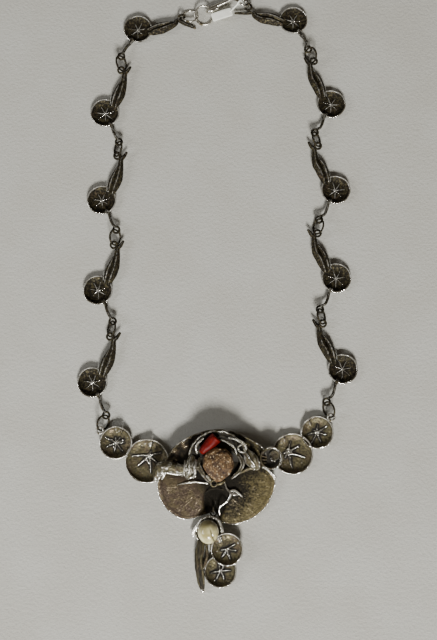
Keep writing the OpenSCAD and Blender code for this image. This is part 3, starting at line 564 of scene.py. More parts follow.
class Pad:
    """The form of one cupped pad, which its sheet, rim and star share."""

    def __init__(self, at, r, foot, lift, slit, slit_start, sizes, seed, base=0.0, mouth=0.2, lobe=0.45,
                 lobe_wide=0.55):
        self.at = Vector((*at, 0))
        self.r, self.foot, self.lift, self.base = r, foot, lift, base
        self.slit, self.slit_start, self.mouth = slit, slit_start, mouth * r
        self.lobe, self.lobe_wide, self.seed = lobe, lobe_wide, seed
        self.wall = sizes.pad_wall / MM
        self.rim = sizes.rim_r / MM
        self.ray = sizes.ray_r / MM

    def height(self, d):
        """Height of the floor at a distance from the middle."""
        rise = 0 if d <= self.foot else self.lift * ((d - self.foot) / (self.r - self.foot)) ** 2
        return self.base + self.wall + rise

    def floor(self, d, turn):
        """Height of the uneven sheet at a distance and a direction, without its lips."""
        uneven = lump(1.6 * math.cos(turn), 1.6 * math.sin(turn), 5, self.seed)
        return self.height(d) + 0.22 * ease(0.6, 1, d / self.r) * uneven - 0.22

    def turn(self, share, round_share):
        """Direction of a point, which leaves the slit open towards the rim, in radians."""
        open_share = ease(self.slit_start, 1.0, share)
        gap = self.mouth * open_share / max(share * self.r, 0.1)
        return math.radians(self.slit) + gap / 2 + round_share * (2 * math.pi - gap)

    def point(self, share, round_share):
        """A point of the pad's top, its direction in radians, and how far it is up on a lip."""
        turn = self.turn(share, round_share)
        wave = 0.018 * lump(2.2 * math.cos(turn), 2.2 * math.sin(turn), 0, self.seed)
        d = (self.r - self.rim) * share * (1 - 0.018 + wave)
        to_slit = min(round_share, 1 - round_share) * 2 * math.pi * d
        wide = self.lobe_wide if round_share < 0.5 else 0.55
        lip = bell(to_slit, wide) * ease(self.slit_start, 1, share)
        curl = lip * (self.lobe if round_share < 0.5 else 0.16)
        z = self.floor(d, turn) + curl
        return self.at + Vector((d * math.cos(turn), d * math.sin(turn), z)), turn, lip

    def sheet(self, steps, worn, rings=26, rough=0.07, dark_star=0.75, star_wide=2.4):
        """The pad's sheet with its veins, groove and lips. It is painted dark round its middle with tarnish
        and the painted shade of the cup, and the lobe beside the raised lip gets painted shade.
        """
        part, shares = fan(rings, steps)
        for vert, (share, round_share) in shares.items():
            place, turn, lip = self.point(share, round_share)
            cx, sy = math.cos(turn), math.sin(turn)
            vein = lump(cx * 5, sy * 5, share * 1.2, self.seed)
            beat = lump(place.x * 1.3, place.y * 1.3, 0, self.seed)
            flake = max(lump(place.x * 2.6, place.y * 2.6, 2, self.seed), 0)
            relief = rough * (vein * share + beat + 1.2 * flake) * ease(0.1, 0.4, share)
            place.z += relief - 0.10 * bell(share - 0.9, 0.035)
            vert.co = place
            near_star = bell(share * self.r, star_wide)
            groove = bell(share - 0.9, 0.04)
            over, under = (lip, 0.0) if round_share < 0.5 else (0.0, lip)
            wear = worn + 2.6 * relief + 0.3 * ease(0.95, 1, share) + 0.35 * over
            # Painted shade: dark round the star in the cup, over tarnish, and dark on the lower lobe beside
            # the raised lip.
            paint(part, vert, wear, dark_star * near_star + 0.5 * groove + 0.3 * max(-beat, 0) + 0.9 * under,
                  Vector((cx * 4, sy * 4, share * 0.9)))
        return walled(part, self.wall)

    def rim_wire(self, steps):
        """The rolled wire along the pad's rim, with a painted highlight on the side that faces the light."""
        rows = []
        for k in range(steps + 1):
            place, turn, _ = self.point(1.0, k / steps)
            thick = self.rim * (1 + 0.22 * lump(3 * math.cos(turn), 3 * math.sin(turn), 9, self.seed))
            rows.append((*(place + Vector((0, 0, 0.02))), thick))
        rim = strand(rows, steps=1, sides=8, wear=0.5, bark=0.08, seed=self.seed)
        rubbed = rim.verts.layers.float["wear"]
        # Painted highlight: the rim is made brighter on the side that faces the light.
        for vert in rim.verts:
            out = (vert.co - self.at).xy.normalized()
            vert[rubbed] += 0.7 * ease(0.1, 0.8, out.dot(heading(LIT_RIM_SIDE).xy))
        return rim

    def shade_rays(self, part, rays, middle):
        """Paints dark shade on the sheet beside each ray."""
        soot_and_shade = part.verts.layers.float["soot_and_shade"]
        centre = self.at + Vector((*middle, 0))
        for vert in part.verts:
            spot = Vector((vert.co.x - centre.x, vert.co.y - centre.y, 0))
            near = 0.0
            for way, length in rays:
                along = heading(way)
                reach = spot.dot(along)
                aside = (spot - along * min(max(reach, 0), length)).length
                near = max(near, bell(aside, 0.85))
            vert[soot_and_shade] = min(vert[soot_and_shade] + 1.15 * near, 1.0)

    def star(self, rays, thick, middle=(0, 0), heart=0.34, wear=0.45, bright=()):
        """Raised rays, each with its direction and length, round a small boss. Those in bright are worn."""
        centre = self.at + Vector((*middle, 0))
        parts = []
        for k, (way, length) in enumerate(rays):
            rows = []
            for step in range(7):
                t = step / 6
                sway = 0.10 * length * t * lump(t * 2.2, k * 3.1, 0, self.seed)
                p = centre + heading(way) * (0.1 + length * t) + heading(way + 90) * sway
                spot = p - self.at
                uneven = 1 + 0.2 * lump(t * 4, k * 5.3, 1, self.seed)
                radius = self.ray * thick * (1.15 - 0.75 * t * t) * uneven
                z = self.floor(spot.length, math.atan2(spot.y, spot.x)) + 0.15 + 0.10 * (1 - t)
                rows.append((p.x, p.y, z, radius))
            parts.append(strand(rows, steps=2, sides=8, keel=0.3, bark=0.10, seed=self.seed + k,
                                wear=0.95 if k in bright else wear))
        boss = centre + Vector((0, 0, self.height((centre - self.at).length) - 0.12))
        parts.append(granule(boss, heart, wear=0.5, seed=self.seed, squash=0.7))
        return parts


def even_rays(count, turn, length, seed):
    """The direction and length of rays that lie nearly evenly round a star."""
    return [(turn + 360 * k / count + 5 * lump(k * 2.3, 0, 0, seed),
             length * (1 + 0.25 * lump(k * 1.7, 4, 0, seed))) for k in range(count)]


# Links

def link_parts(side, index, sizes):
    """One cast link, drawn for the left row with its pad at the origin."""
    out = CHAIN_OUT[side]
    seed = index + (0 if side == "left" else 20)
    pad = Pad(r=sizes.pad_r / MM, sizes=sizes, seed=seed, **LINK_PAD)
    rays = even_rays(7, 17 + 6 * lump(seed * 1.3, 0), 2.9, seed)
    # Nearly the whole cup is painted dark round its star: tarnish and painted shade.
    parts = [pad.sheet(sizes.pad_steps, worn=0.10, dark_star=0.95, star_wide=4.2),
             pad.rim_wire(sizes.pad_steps * 3 // 4)]
    parts += pad.star(rays, thick=0.9, bright=(0, 4))
    by_clasp = index == 1
    stands = by_clasp and side == "left"
    top_eye = Vector((out, BLADE_EYE_Y, EDGE_EYE_H if stands else EYE_H))
    low_eye = Vector((out - STEM_EYE_IN, STEM_EYE_Y, EYE_H))
    neck = top_eye + Vector(CLASP_NECK_BY[side] if by_clasp else NECK_BY)
    thorn = top_eye + Vector(CLASP_THORN_BY[side] if by_clasp else THORN_BY)
    bend = neck.lerp(thorn, 0.45) + Vector((0.1, -0.15, 0.1))
    parts.append(strand(
        [(4.2, 2.6, 1.9, 0.7), (4.9, 4.6, 2.0, 1.3), (5.9, 7.0, 2.1, 1.5), (out + 0.6, 9.6, 2.2, 1.35),
         (out + 1.1, 12.4, 2.3, 1.0), (*neck, 0.75), (*bend, 0.64), (*thorn, 0.42)],
        steps=5, sides=16, flat=0.85, keel=0.75, bark=0.07, wear=0.22, soot_and_shade=0.12, seed=seed))
    parts.append(strand(
        [(5.2, 3.4, 1.5, 0.4), (6.2, 5.8, 1.6, 0.5), (out + 1.0, 8.6, 1.7, 0.5),
         (out + 1.6, 11.4, 1.9, 0.42), (out + 1.6, 13.4, 2.0, 0.25)],
        steps=5, sides=12, keel=0.6, bark=0.07, wear=0.30, seed=seed + 2))
    parts.append(strand(
        [(2.7, 3.2, 1.9, 0.6), (3.2, 5.2, 2.0, 0.95), (3.9, 7.4, 2.1, 1.05), (4.8, 9.6, 2.2, 0.8),
         (out - 0.1, 12.2, 2.4, 0.3)],
        steps=5, sides=14, flat=0.9, keel=0.8, bark=0.07, wear=0.26, soot_and_shade=0.05, seed=seed + 3))
    parts.append(strand(
        [(2.2, -4.4, 1.5, 0.9), (2.9, -5.6, 1.6, 0.62), (3.4, -7.6, 1.9, 0.58), (4.3, -9.6, 2.2, 0.55),
         (*(low_eye + Vector((-0.4, 1.15, 0))), 0.5)],
        sides=10, bark=0.10, wear=0.32, seed=seed + 5))
    edge_turn = CLASP_TURN - LINKS[side][index - 1][2]
    reach = -heading(edge_turn) if stands else (neck - top_eye).normalized()
    if by_clasp:
        parts.append(strand([(*neck, 0.5), (*(top_eye + reach * EYE_R), 0.42)], sides=8, wear=0.4))
    eye_turn = on_edge(edge_turn) if stands else LYING
    parts.append(eye_ring(top_eye, seed, eye_turn, wear=0.1, soot_and_shade=0.5))
    parts.append(eye_ring(low_eye, seed + 1, wear=0.1, soot_and_shade=0.5))
    return parts


def placed(side, index, x, y):
    """The middle of a link's eye after the link is placed."""
    row = LINKS[side][index - 1]
    turn = math.radians(row[2])
    x *= SIDE[side]
    return Vector((row[0] + x * math.cos(turn) - y * math.sin(turn),
                   row[1] + x * math.sin(turn) + y * math.cos(turn), EYE_H))


def blade_eye(side, index):
    """The middle of the eye at a link's blade, towards the clasp."""
    return placed(side, index, CHAIN_OUT[side], BLADE_EYE_Y)


def stem_eye(side, index):
    """The middle of the eye at a link's stem, towards the leaf."""
    return placed(side, index, CHAIN_OUT[side] - STEM_EYE_IN, STEM_EYE_Y)


def beside(pad, reach, degrees, h):
    """A point at a reach and a direction from a pad's middle, and at a height over the table."""
    return Vector((*pad["at"], 0)) + heading(degrees) * reach + Vector((0, 0, h))


PADS_EYE = {
    "left": beside(OUTER_LEFT, OUTER_LEFT["r"] + EYE_R, 142, EYE_H),
    "right": beside(OUTER_RIGHT, OUTER_RIGHT["r"] + EYE_R, 47, EYE_H),
}


# The broad leaf

def leaf_edge(degrees):
    """Reach and height of the leaf's edge in a direction, read along a smooth curve."""
    i = 0
    while i < len(LEAF_EDGE) - 2 and degrees >= LEAF_EDGE[i + 1][0]:
        i += 1
    here, there = LEAF_EDGE[i], LEAF_EDGE[i + 1]
    step = there[0] - here[0]
    t = (degrees - here[0]) / step
    values = []
    for col in (1, 2):
        slopes = []
        for j in (i, i + 1):
            low, high = LEAF_EDGE[max(j - 1, 0)], LEAF_EDGE[min(j + 1, len(LEAF_EDGE) - 1)]
            slopes.append((high[col] - low[col]) / (high[0] - low[0]))
        values.append(
            (2 * t ** 3 - 3 * t ** 2 + 1) * here[col] + (t ** 3 - 2 * t ** 2 + t) * step * slopes[0]
            + (3 * t ** 2 - 2 * t ** 3) * there[col] + (t ** 3 - t ** 2) * step * slopes[1])
    return values


def in_hollow(x, y):
    """1 in the hollow between the lobes and 0 out on them."""
    far = math.hypot((x - HOLLOW_AT[0]) / HOLLOW_HALF[0], (y - HOLLOW_AT[1]) / HOLLOW_HALF[1])
    return 1 - ease(0.72, 1.12, far)


def leaf_point(share, degrees):
    """A point of the leaf's top, and 1 where it lies in the hollow."""
    reach, edge_h = leaf_edge(degrees)
    way = heading(degrees)
    nick = 0.22 * max(lump(way.x * 9, way.y * 9, 4) - 0.25, 0)
    d = (reach - LEAF_RIM_ROOM) * share * (1 - nick * 0.12)
    x = LEAF_HEART[0] + d * way.x
    y = LEAF_HEART[1] + d * way.y
    z = LEAF_CROWN + (edge_h - LEAF_CROWN) * share ** LEAF_BOW
    hollow = in_hollow(x, y)
    return Vector((x, y, blend(z, min(z, HOLLOW_FLOOR), hollow))), hollow


def leaf_sheet(sizes):
    """The domed sheet of the leaf, with its ribs and hollow and a mottled band along its back. Painted shade
    darkens its hollow, its middle under the bud and its half behind the bud, stone and branch; along the band
    the shade is lifted.
    """
    part, shares = fan(58, sizes.leaf_steps)
    first, last = LEAF_EDGE[0][0], LEAF_EDGE[-1][0]
    for vert, (share, round_share) in shares.items():
        degrees = blend(first, last, round_share)
        way = heading(degrees)
        place, hollow = leaf_point(share, degrees)
        rib = 0.5 * lump(way.x * 16, way.y * 16, share * 1.2, 1)
        rib += lump(way.x * 42, way.y * 42, share * 1.6, 2)
        bump = lump(place.x * 0.45, place.y * 0.45, 0, 3)
        pock = max(lump(place.x * 1.5, place.y * 1.5, 0, 4) - 0.35, 0) * ease(0.55, 0.9, share)
        swell = 0.055 * rib * ease(0.2, 0.6, share) + 0.10 * bump - 0.4 * pock
        groove = bell(share - 0.935, 0.012)
        place.z += (swell - 0.14 * groove) * (1 - 0.6 * hollow)
        vert.co = place
        # Painted shade: under the bud, and on the half behind the bud, stone and branch, where their shadows
        # fall.
        under_bud = 1 - ease(0.20, 0.45, share)
        behind = ease(-1.8, 2.4, place.y)
        mottle = lump(place.x * 0.7, place.y * 0.7, 0, 7) + 0.6 * lump(place.x * 1.8, place.y * 1.8, 0, 7)
        band = behind * ease(0.74, 0.90, share)
        vert.co.z += 0.16 * band * mottle
        wear = 0.10 + 1.6 * swell + 0.22 * ease(0.95, 1, share) - 0.4 * hollow + band * (0.8 * mottle - 0.04)
        # The dark layer: tarnish in the pocks and groove, and painted shade in the hollow, under the bud and
        # behind it, lifted along the band.
        crust = 1.6 * hollow + 0.9 * under_bud + 0.9 * behind - band * (0.30 + 0.8 * mottle)
        paint(part, vert, wear, crust + 0.5 * groove + 0.8 * pock,
              Vector((way.x * 9, way.y * 9, share * 1.1)))
    return walled(part, LEAF_WALL)


def leaf_rim(sizes):
    """The rolled wire on the leaf's edge, with a painted highlight towards the drop, where it faces the
    light, and rubbed patches.
    """
    rows = []
    steps = sizes.leaf_steps * 2 // 3
    for k in range(steps + 1):
        degrees = blend(*RIM_SPAN, k / steps)
        place, _ = leaf_point(1, degrees)
        thick = sizes.rim_r / MM * (0.95 + 0.3 * lump(k * 0.21, 0, 0, 6))
        rows.append((place.x, place.y, place.z - 0.12, thick))
    rim = strand(rows, steps=1, sides=8, wear=0.3, bark=0.05, seed=6)
    wear = rim.verts.layers.float["wear"]
    for vert in rim.verts:
        patch = max(lump(vert.co.x * 0.5, vert.co.y * 0.5, 0, 7), 0)
        # Painted highlight along the lower rim, which faces the light; the patches are wear.
        vert[wear] += 0.65 * ease(-3.0, 3.0, -vert.co.y) + 0.8 * patch
    return rim


def curl_at(share, round_share, way, crust=0.0):
    """A point of the curled leaf, whose rim is torn and sinks towards both ends. The crust swells it."""
    torn = 0.5 * lump(way.x * 4, way.y * 4, 0, 8) + 0.25 * lump(way.x * 11, way.y * 11, 0, 8)
    ends = ease(0, 0.14, round_share) * ease(0, 0.10, 1 - round_share)
    radius = CURL_IN + (CURL_WIDE + 0.5 * torn) * share ** 0.9
    z = CURL_LOW + (CURL_HIGH - CURL_LOW) * (share ** 1.25) * (0.35 + 0.65 * ends) + 0.25 * torn * share
    radius += 0.35 * crust * ease(0.1, 0.3, share)
    z += 0.22 * crust * ease(0.1, 0.5, share)
    return Vector((CURL_AT[0] + radius * way.x * CURL_STRETCH, CURL_AT[1] + radius * way.y, min(z, CURL_TOP)))


def curled_leaf():
    """The wall of leaf that curls up behind the bud, with a torn thick rim. The wall is painted dark, tarnish
    and the shade behind the bud and stone, except at its rim and on its crust.
    """
    part, shares = fan(30, 150)
    start, end = CURL_SPAN
    for vert, (share, round_share) in shares.items():
        way = heading(blend(start, end, round_share))
        crust = lump(way.x * 7, way.y * 7, share * 3, 9) + 0.5 * lump(way.x * 13, way.y * 13, share * 5, 9)
        vert.co = curl_at(share, round_share, way, crust)
        # Painted shade over tarnish: dark all over but at the rim and on the crust.
        paint(part, vert, 0.05 + 1.3 * max(crust, 0) * share + 0.3 * ease(0.95, 1, share),
              1.0 - 0.3 * ease(0.8, 1.0, share) - 0.8 * max(crust - 0.1, 0),
              Vector((way.x * 7, way.y * 7, share * 2)))
    parts = [walled(part, CUP_WALL)]
    rows = []
    for k in range(81):
        way = heading(blend(start + 4, end - 3, k / 80))
        thick = 0.26 + 0.18 * lump(k * 0.35, 1, 0, 10)
        rows.append((*curl_at(1, k / 80, way), thick))
    parts.append(strand(rows, steps=1, sides=8, bark=0.25, wear=0.45, seed=10))
    parts += [strand(rows, steps=6, sides=12, flat=0.8, bark=0.2, wear=0.5, seed=18 + k)
              for k, rows in enumerate(SWIRL)]
    return parts


def branch_parts():
    """The barky branch with its knob, bright edge, folds and claw."""
    parts = [
        strand(BRANCH, steps=7, sides=28, bark=0.26, wear=0.30, soot_and_shade=0.10, seed=11),
        strand(KNOB, steps=6, sides=24, bark=0.26, wear=0.30, soot_and_shade=0.12, seed=12),
        strand(BRANCH_EDGE, steps=5, sides=10, bark=0.24, wear=0.92, seed=13),
    ]
    parts += [strand(rows, steps=5, sides=10, bark=0.18, wear=0.55, seed=14 + k)
              for k, rows in enumerate(FOLDS)]
    parts += [strand(rows, steps=5, sides=10, bark=0.16, wear=0.85, seed=17 + k)
              for k, rows in enumerate(CLAW)]
    return parts


def petal_parts():
    """The small petal bud on the right, with its curled edge."""
    body = strand(PETAL, steps=7, sides=22, flat=0.8, groove=0.30, bark=0.18, wear=0.38, soot_and_shade=0.05, seed=21)
    edge = strand(PETAL_EDGE, sides=10, bark=0.1, wear=0.9, seed=22)
    fold = strand(PETAL_FOLD, sides=10, bark=0.1, wear=0.75, seed=23)
    link = strand(CONNECTION, sides=12, flat=0.8, bark=0.22, wear=0.3, soot_and_shade=0.1, seed=24)
    return [body, edge, fold, link]


CUP_WALL = 0.5


def tear_at(cx, sy, ragged, seed):
    """How far a cup's rim is torn in the direction with this cosine and sine."""
    return ragged * (lump(cx * 2.2, sy * 2.2, 0, seed) + 0.5 * lump(cx * 6, sy * 6, 0, seed))


def cup_sheet(at, r, foot, lift, seed, soot_and_shade, rings=18, steps=90, ragged=0.3, worn=0.2, edge=0.75):
    """A round cup: its floor lies at `at`, and its rim is uneven. It is painted dark inside, tarnish and
    painted shade, and lighter towards its rim.
    """
    part, shares = fan(rings, steps)
    for vert, (share, round_share) in shares.items():
        turn = round_share * 2 * math.pi
        cx, sy = math.cos(turn), math.sin(turn)
        tear = tear_at(cx, sy, ragged, seed)
        d = (r - 0.3) * share * (1 + 0.05 * tear * share)
        rise = 0 if d <= foot else lift * ((d - foot) / (r - foot)) ** 1.6
        z = CUP_WALL + rise * (1 + 0.35 * tear) + 0.07 * lump(cx * 5, sy * 5, share * 3, seed)
        vert.co = Vector(at) + Vector((d * cx, d * sy, z))
        paint(part, vert, worn + edge * ease(0.88, 1, share), soot_and_shade * (1 - edge * ease(0.75, 1, share)),
              Vector((cx * 4, sy * 4, share)))
    return walled(part, CUP_WALL)


def cup_rim(at, r, z, seed, thick, ragged=0.3, start=0, end=360, wear=0.95):
    """The rolled rim of a cup, at a height over its floor, from one direction to another."""
    rows = []
    steps = 64
    for k in range(steps + 1):
        turn = math.radians(blend(start, end, k / steps))
        cx, sy = math.cos(turn), math.sin(turn)
        tear = tear_at(cx, sy, ragged, seed)
        d = (r - 0.35) * (1 + 0.05 * tear)
        rows.append((at[0] + d * cx, at[1] + d * sy, at[2] + z * (1 + 0.2 * tear),
                     thick * (1 + 0.35 * lump(cx * 5, sy * 5, 2, seed))))
    return strand(rows, steps=1, sides=8, bark=0.15, wear=wear, seed=seed)


def calyx_parts(sizes):
    """The small cup on the right of the leaf, with a tiny pad and granules in it."""
    bright_at = (CALYX_AT[0], CALYX_AT[1], CALYX_AT[2] + 0.05)
    parts = [
        cup_sheet(CALYX_AT, CALYX_R, 1.8, 1.3, 31, soot_and_shade=1.0),
        cup_rim(CALYX_AT, CALYX_R, 1.75, 31, 0.3, wear=0.2),
        cup_rim(bright_at, CALYX_R, 1.75, 31, 0.36, start=-80, end=110),
        Pad(sizes=sizes, seed=32, **CALYX_PAD).sheet(48, rings=12, worn=0.4),
    ]
    parts += beads(BEADS["calyx"], 33)
    for step in CALYX_RIB_STEPS:
        rib = [(x, y + step, z, radius) for x, y, z, radius in CALYX_RIB]
        parts.append(strand(rib, sides=8, wear=0.35, soot_and_shade=0.3, seed=35 + step))
    parts.append(strand(BAR, sides=10, bark=0.16, wear=0.6, seed=36))
    return parts


def wire_parts():
    """The bright wires laid on the leaf: spur, tendril, leaflets and knot."""
    return [
        strand(SPUR, steps=6, sides=12, flat=0.8, bark=0.18, wear=0.6, seed=41),
        strand(TENDRIL, steps=6, sides=12, bark=0.16, wear=0.75, seed=42),
        strand(LEAFLET, steps=6, sides=16, flat=0.7, groove=0.5, bark=0.12, wear=0.75, seed=43),
        strand(SPUR_LEAF, steps=5, sides=10, flat=0.6, groove=0.4, bark=0.1, wear=0.8, seed=44),
        wire_ring(Vector(KNOT_AT), leaning(20, 12), 1.1, 0.3, wear=0.35, soot_and_shade=0.2, seed=45, steps=40,
                  sides=10),
        strand(KNOT_ENDS[0], bark=0.2, wear=0.4, seed=46),
        strand(KNOT_ENDS[1], bark=0.2, wear=0.3, soot_and_shade=0.2, seed=47),
    ]


def hollow_parts():
    """The hood and cup behind the leaf's slit, both painted dark: the cup is a dark sheet that stands in for
    the shade between the lobes.
    """
    return [
        strand(HOLLOW_RIM, steps=5, sides=10, flat=0.8, bark=0.1, wear=0, soot_and_shade=0.9, seed=51),
        cup_sheet(HOLLOW_CUP_AT, HOLLOW_CUP_R, 1.6, 1.0, 52, soot_and_shade=1.0, worn=0.0, edge=0.0),
    ]


# Side pads and the drop

LARGE_PAD_STEPS = 132


def dressed_pad(spec, rays, sizes, seed, star_at=(0, 0), heart=0.3, thick=0.95, rough=0.08):
    """A pad beside the leaf or in the drop: its sheet, rim and star, with soot beside the rays."""
    pad = Pad(sizes=sizes, seed=seed, **spec)
    parts = [pad.sheet(LARGE_PAD_STEPS, rings=34, rough=rough, worn=0.14),
             pad.rim_wire(LARGE_PAD_STEPS * 3 // 4)]
    pad.shade_rays(parts[0], rays, star_at)
    return parts + pad.star(rays, thick, star_at, heart=heart, wear=0.7)


def side_pads(side, sizes):
    """The two pads of one side, their beads, and their eyes for the chain and for the hidden ring."""
    spec = SIDE_PADS[side]
    seed, inner, turn = spec["seed"], spec["inner"], spec["hinge_turn"]
    parts = dressed_pad(spec["outer"], spec["outer_rays"], sizes, seed)
    parts += dressed_pad(inner, spec["inner_rays"], sizes, seed + 1, spec["star_at"], heart=spec["boss"],
                         thick=1.3)
    parts += beads(BEADS[side], seed + 2)
    if side == "right":
        parts.append(wire_ring(Vector(STAR_RING_AT), LYING, 1.0, 0.16, seed=74))
    parts.append(eye_ring(PADS_EYE[side], seed=75))
    hinge_eye = beside(inner, inner["r"] + 0.5, turn, HINGE_H)
    parts.append(wire_ring(hinge_eye, on_edge(turn), HINGE_EYE_R, HINGE_WIRE, seed=76, steps=32, sides=10))
    return parts


def drop_parts(sizes):
    """The drop's two pads with their beads, its twigs and its end ball."""
    parts = dressed_pad(UPPER_DROP, RAYS_UPPER_DROP, sizes, 81, rough=0.09)
    parts += dressed_pad(LOWER_DROP, RAYS_LOWER_DROP, sizes, 82, rough=0.09)
    parts += beads(BEADS["drop"], 83)
    parts.append(strand(DROP_NECK, bark=0.2, wear=0.3, seed=86))
    parts.append(strand(TWIG, steps=6, sides=26, bark=0.24, wear=0.1, soot_and_shade=0.8, seed=87))
    parts += [strand(rows, steps=6, sides=10, bark=0.25, wear=0.12, soot_and_shade=0.35, seed=88 + k)
              for k, rows in enumerate(TWIG_STRIPS)]
    parts.append(strand(SIDE_TWIG, steps=6, sides=10, bark=0.30, wear=0.32, soot_and_shade=0.2, seed=90))
    parts.append(granule(END_BALL, END_BALL_R, wear=1.0, seed=91))
    return parts


def pearl_cup_parts():
    """The pearl's cup with its collar and spurs, and the eye that hangs from the hidden ring."""
    at = (PEARL_AT[0], PEARL_AT[1], 0)
    cup = cup_sheet(at, PEARL_CUP_R, 2.2, 1.5, 95, rings=20, steps=100, ragged=0.7, soot_and_shade=0.9)
    parts = [cup, cup_rim(at, PEARL_CUP_R, 1.8, 95, 0.34, ragged=0.7, start=-200, end=30, wear=0.6)]
    parts.append(strand(COLLAR, steps=6, sides=12, flat=0.9, bark=0.26, wear=0.72, seed=96))
    parts += [strand(rows, steps=6, sides=12, flat=0.7, groove=0.35, bark=0.12, wear=0.8, seed=97 + k)
              for k, rows in enumerate(CUP_SPURS)]
    parts.append(wire_ring(Vector(DROP_EYE_AT), LYING, DROP_EYE_R, HINGE_WIRE, wear=0.0, soot_and_shade=0.9, seed=99,
                           steps=32, sides=10))
    parts.append(strand(DROP_STALK, sides=8, wear=0.0, soot_and_shade=0.6))
    return parts


# Stones

def bud_stone_part():
    """A rough stone, blunt at the top, narrower at its foot, with a pit at the lower right."""
    part = new_part()
    bmesh.ops.create_icosphere(part, subdivisions=6, radius=1)
    for vert in part.verts:
        way = vert.co.normalized()
        taper = 1 - 0.34 * ease(0.1, 1.0, -way.y) + 0.06 * ease(0.0, 0.6, way.y)
        facet = noise.voronoi(way * 2.3 + Vector((3.1, 0.4, 1.7)))[0]
        crust = noise.fractal(way * 3.2 + Vector((5, 2, 1)), 0.9, 2.1, 5)
        pit = bell((way - STONE_PIT_WAY).length, 0.20)
        swell = 1 + 0.12 * (facet[0] - 0.4) + 0.05 * crust - 0.12 * pit - 0.04
        place = Vector((way.x * STONE_HALF[0] * taper, way.y * STONE_HALF[1], way.z * STONE_HALF[2]))
        vert.co = Vector(STONE_AT) + place * swell
        vert.co.z = min(vert.co.z, STONE_TOP)
        paint(part, vert, 0.5 + 0.6 * crust, pit + max(-crust, 0) * 0.5, way * 4)
    return part


def coral_part():
    """A polished stub, cut across at its thick end."""
    part = strand(CORAL, steps=8, sides=40, flat=0.92, wear=0.5, seed=101)
    top = Vector(CORAL[-1][:3])
    way = (top - Vector(CORAL[0][:3])).normalized()
    for vert in part.verts:
        past = (vert.co - top).dot(way)
        if past > CORAL_CUT:
            vert.co -= way * (past - CORAL_CUT) * 0.86
        wave = lump(vert.co.x * 0.55, vert.co.y * 0.55, vert.co.z * 0.8, 102)
        vert.co += vert.normal * (0.13 * wave)
    return part


def pearl_part():
    """A baroque pearl with a crease down its lower right."""
    part = new_part()
    bmesh.ops.create_icosphere(part, subdivisions=6, radius=1)
    for vert in part.verts:
        way = vert.co.normalized()
        crease_at = way.x * 0.93 + way.y * 0.36 - 0.28 + 0.08 * lump(way.x * 2, way.y * 2, 0, 5)
        crease = bell(crease_at, 0.075) * ease(-0.2, 0.5, way.z) * ease(0.75, -0.1, way.y)
        ripple = lump(way.x * 1.4, way.y * 1.4, way.z * 1.4, 6) + 0.35 * lump(*(way * 4), 7)
        swell = 0.965 + 0.035 * ripple - 0.05 * crease
        place = Vector([w * h for w, h in zip(way, PEARL_HALF)])
        vert.co = Vector(PEARL_AT) + place * swell
        # Painted shade: darker along the crease and towards the top.
        paint(part, vert, ripple, max(crease, 0.75 * ease(-0.1, 0.9, way.y)), way * 2)
    return part


# Clasp

def ahead(place, reach, degrees):
    """The point at a reach from a place, in a level direction."""
    return Vector(place) + heading(degrees) * reach


def clasp_places():
    """Middle of the two rings, the hook's bend and its eye."""
    left_top = blade_eye("left", 1)
    reach_b = RING_A["r"] + RING_B["r"] - RINGS_LAP
    ring_a = ahead((left_top.x, left_top.y, 0), RING_A["r"] + RING_PAST_EYE, CLASP_TURN)
    ring_b = ahead(ring_a, reach_b, CLASP_TURN)
    for place, ring in ((ring_a, RING_A), (ring_b, RING_B)):
        place.z = ring["r"] * math.sin(math.radians(CLASP_LEAN)) + ring["wire"]
    bend_reach = RING_B["r"] - RING_B["wire"] - HOOK_ROD - HOOK_GAP + HOOK_BEND - HOOK_PAST_RING
    bend = ahead(ring_b, bend_reach, CATCH_DIRECTION)
    bend.z = HOOK_BEND * math.sin(math.radians(HOOK_LEAN)) + HOOK_BALL + 0.15
    eye = ahead(bend, HOOK_LENGTH, HOOK_TURN)
    eye.z = EYE_H
    return ring_a, ring_b, bend, eye


def hook_parts():
    """The hook's rod, from its eye along the shank and round the bend, and the eye."""
    _, _, bend, eye = clasp_places()
    lean = math.radians(HOOK_LEAN)
    side = HOOK_BEND * (math.cos(lean) * heading(HOOK_TURN + 90) - math.sin(lean) * UP)
    start, shank = ahead(eye, -EYE_R, HOOK_TURN), bend + side
    rows = [(*start, 0.55)]
    rows += [(*start.lerp(shank, t), blend(0.62, HOOK_ROD - 0.05, t)) for t in (0.25, 0.5, 0.75)]
    for step in range(0, 181, 20):
        a = math.radians(step)
        rows.append((*ahead(bend + math.cos(a) * side, -HOOK_BEND * math.sin(a), HOOK_TURN), HOOK_ROD - 0.04))
    tip = ahead(bend - side, HOOK_END, HOOK_TURN)
    rows += [(*ahead(bend - side, HOOK_END * 0.6, HOOK_TURN), HOOK_ROD - 0.1), (*tip, HOOK_ROD + 0.02)]
    return [
        strand(rows, steps=4, sides=16, bark=0.04, wear=0.66, seed=111),
        eye_ring(eye, seed=112),
    ]


def last_ring():
    """Middle, direction, lean, top and leaning side of the ring between the hook and the right row."""
    eye = clasp_places()[3]
    end = blade_eye("right", 1)
    turn = math.degrees(math.atan2(end.y - eye.y, end.x - eye.x))
    lean = math.asin((EYE_H - LAST_RING["wire"]) / LAST_RING["r"])
    side = heading(turn - 90)
    top = (eye + end) / 2 + LAST_RING["r"] * (math.cos(lean) * side + math.sin(lean) * UP)
    return (eye + end) / 2, turn, -math.degrees(lean), top, side


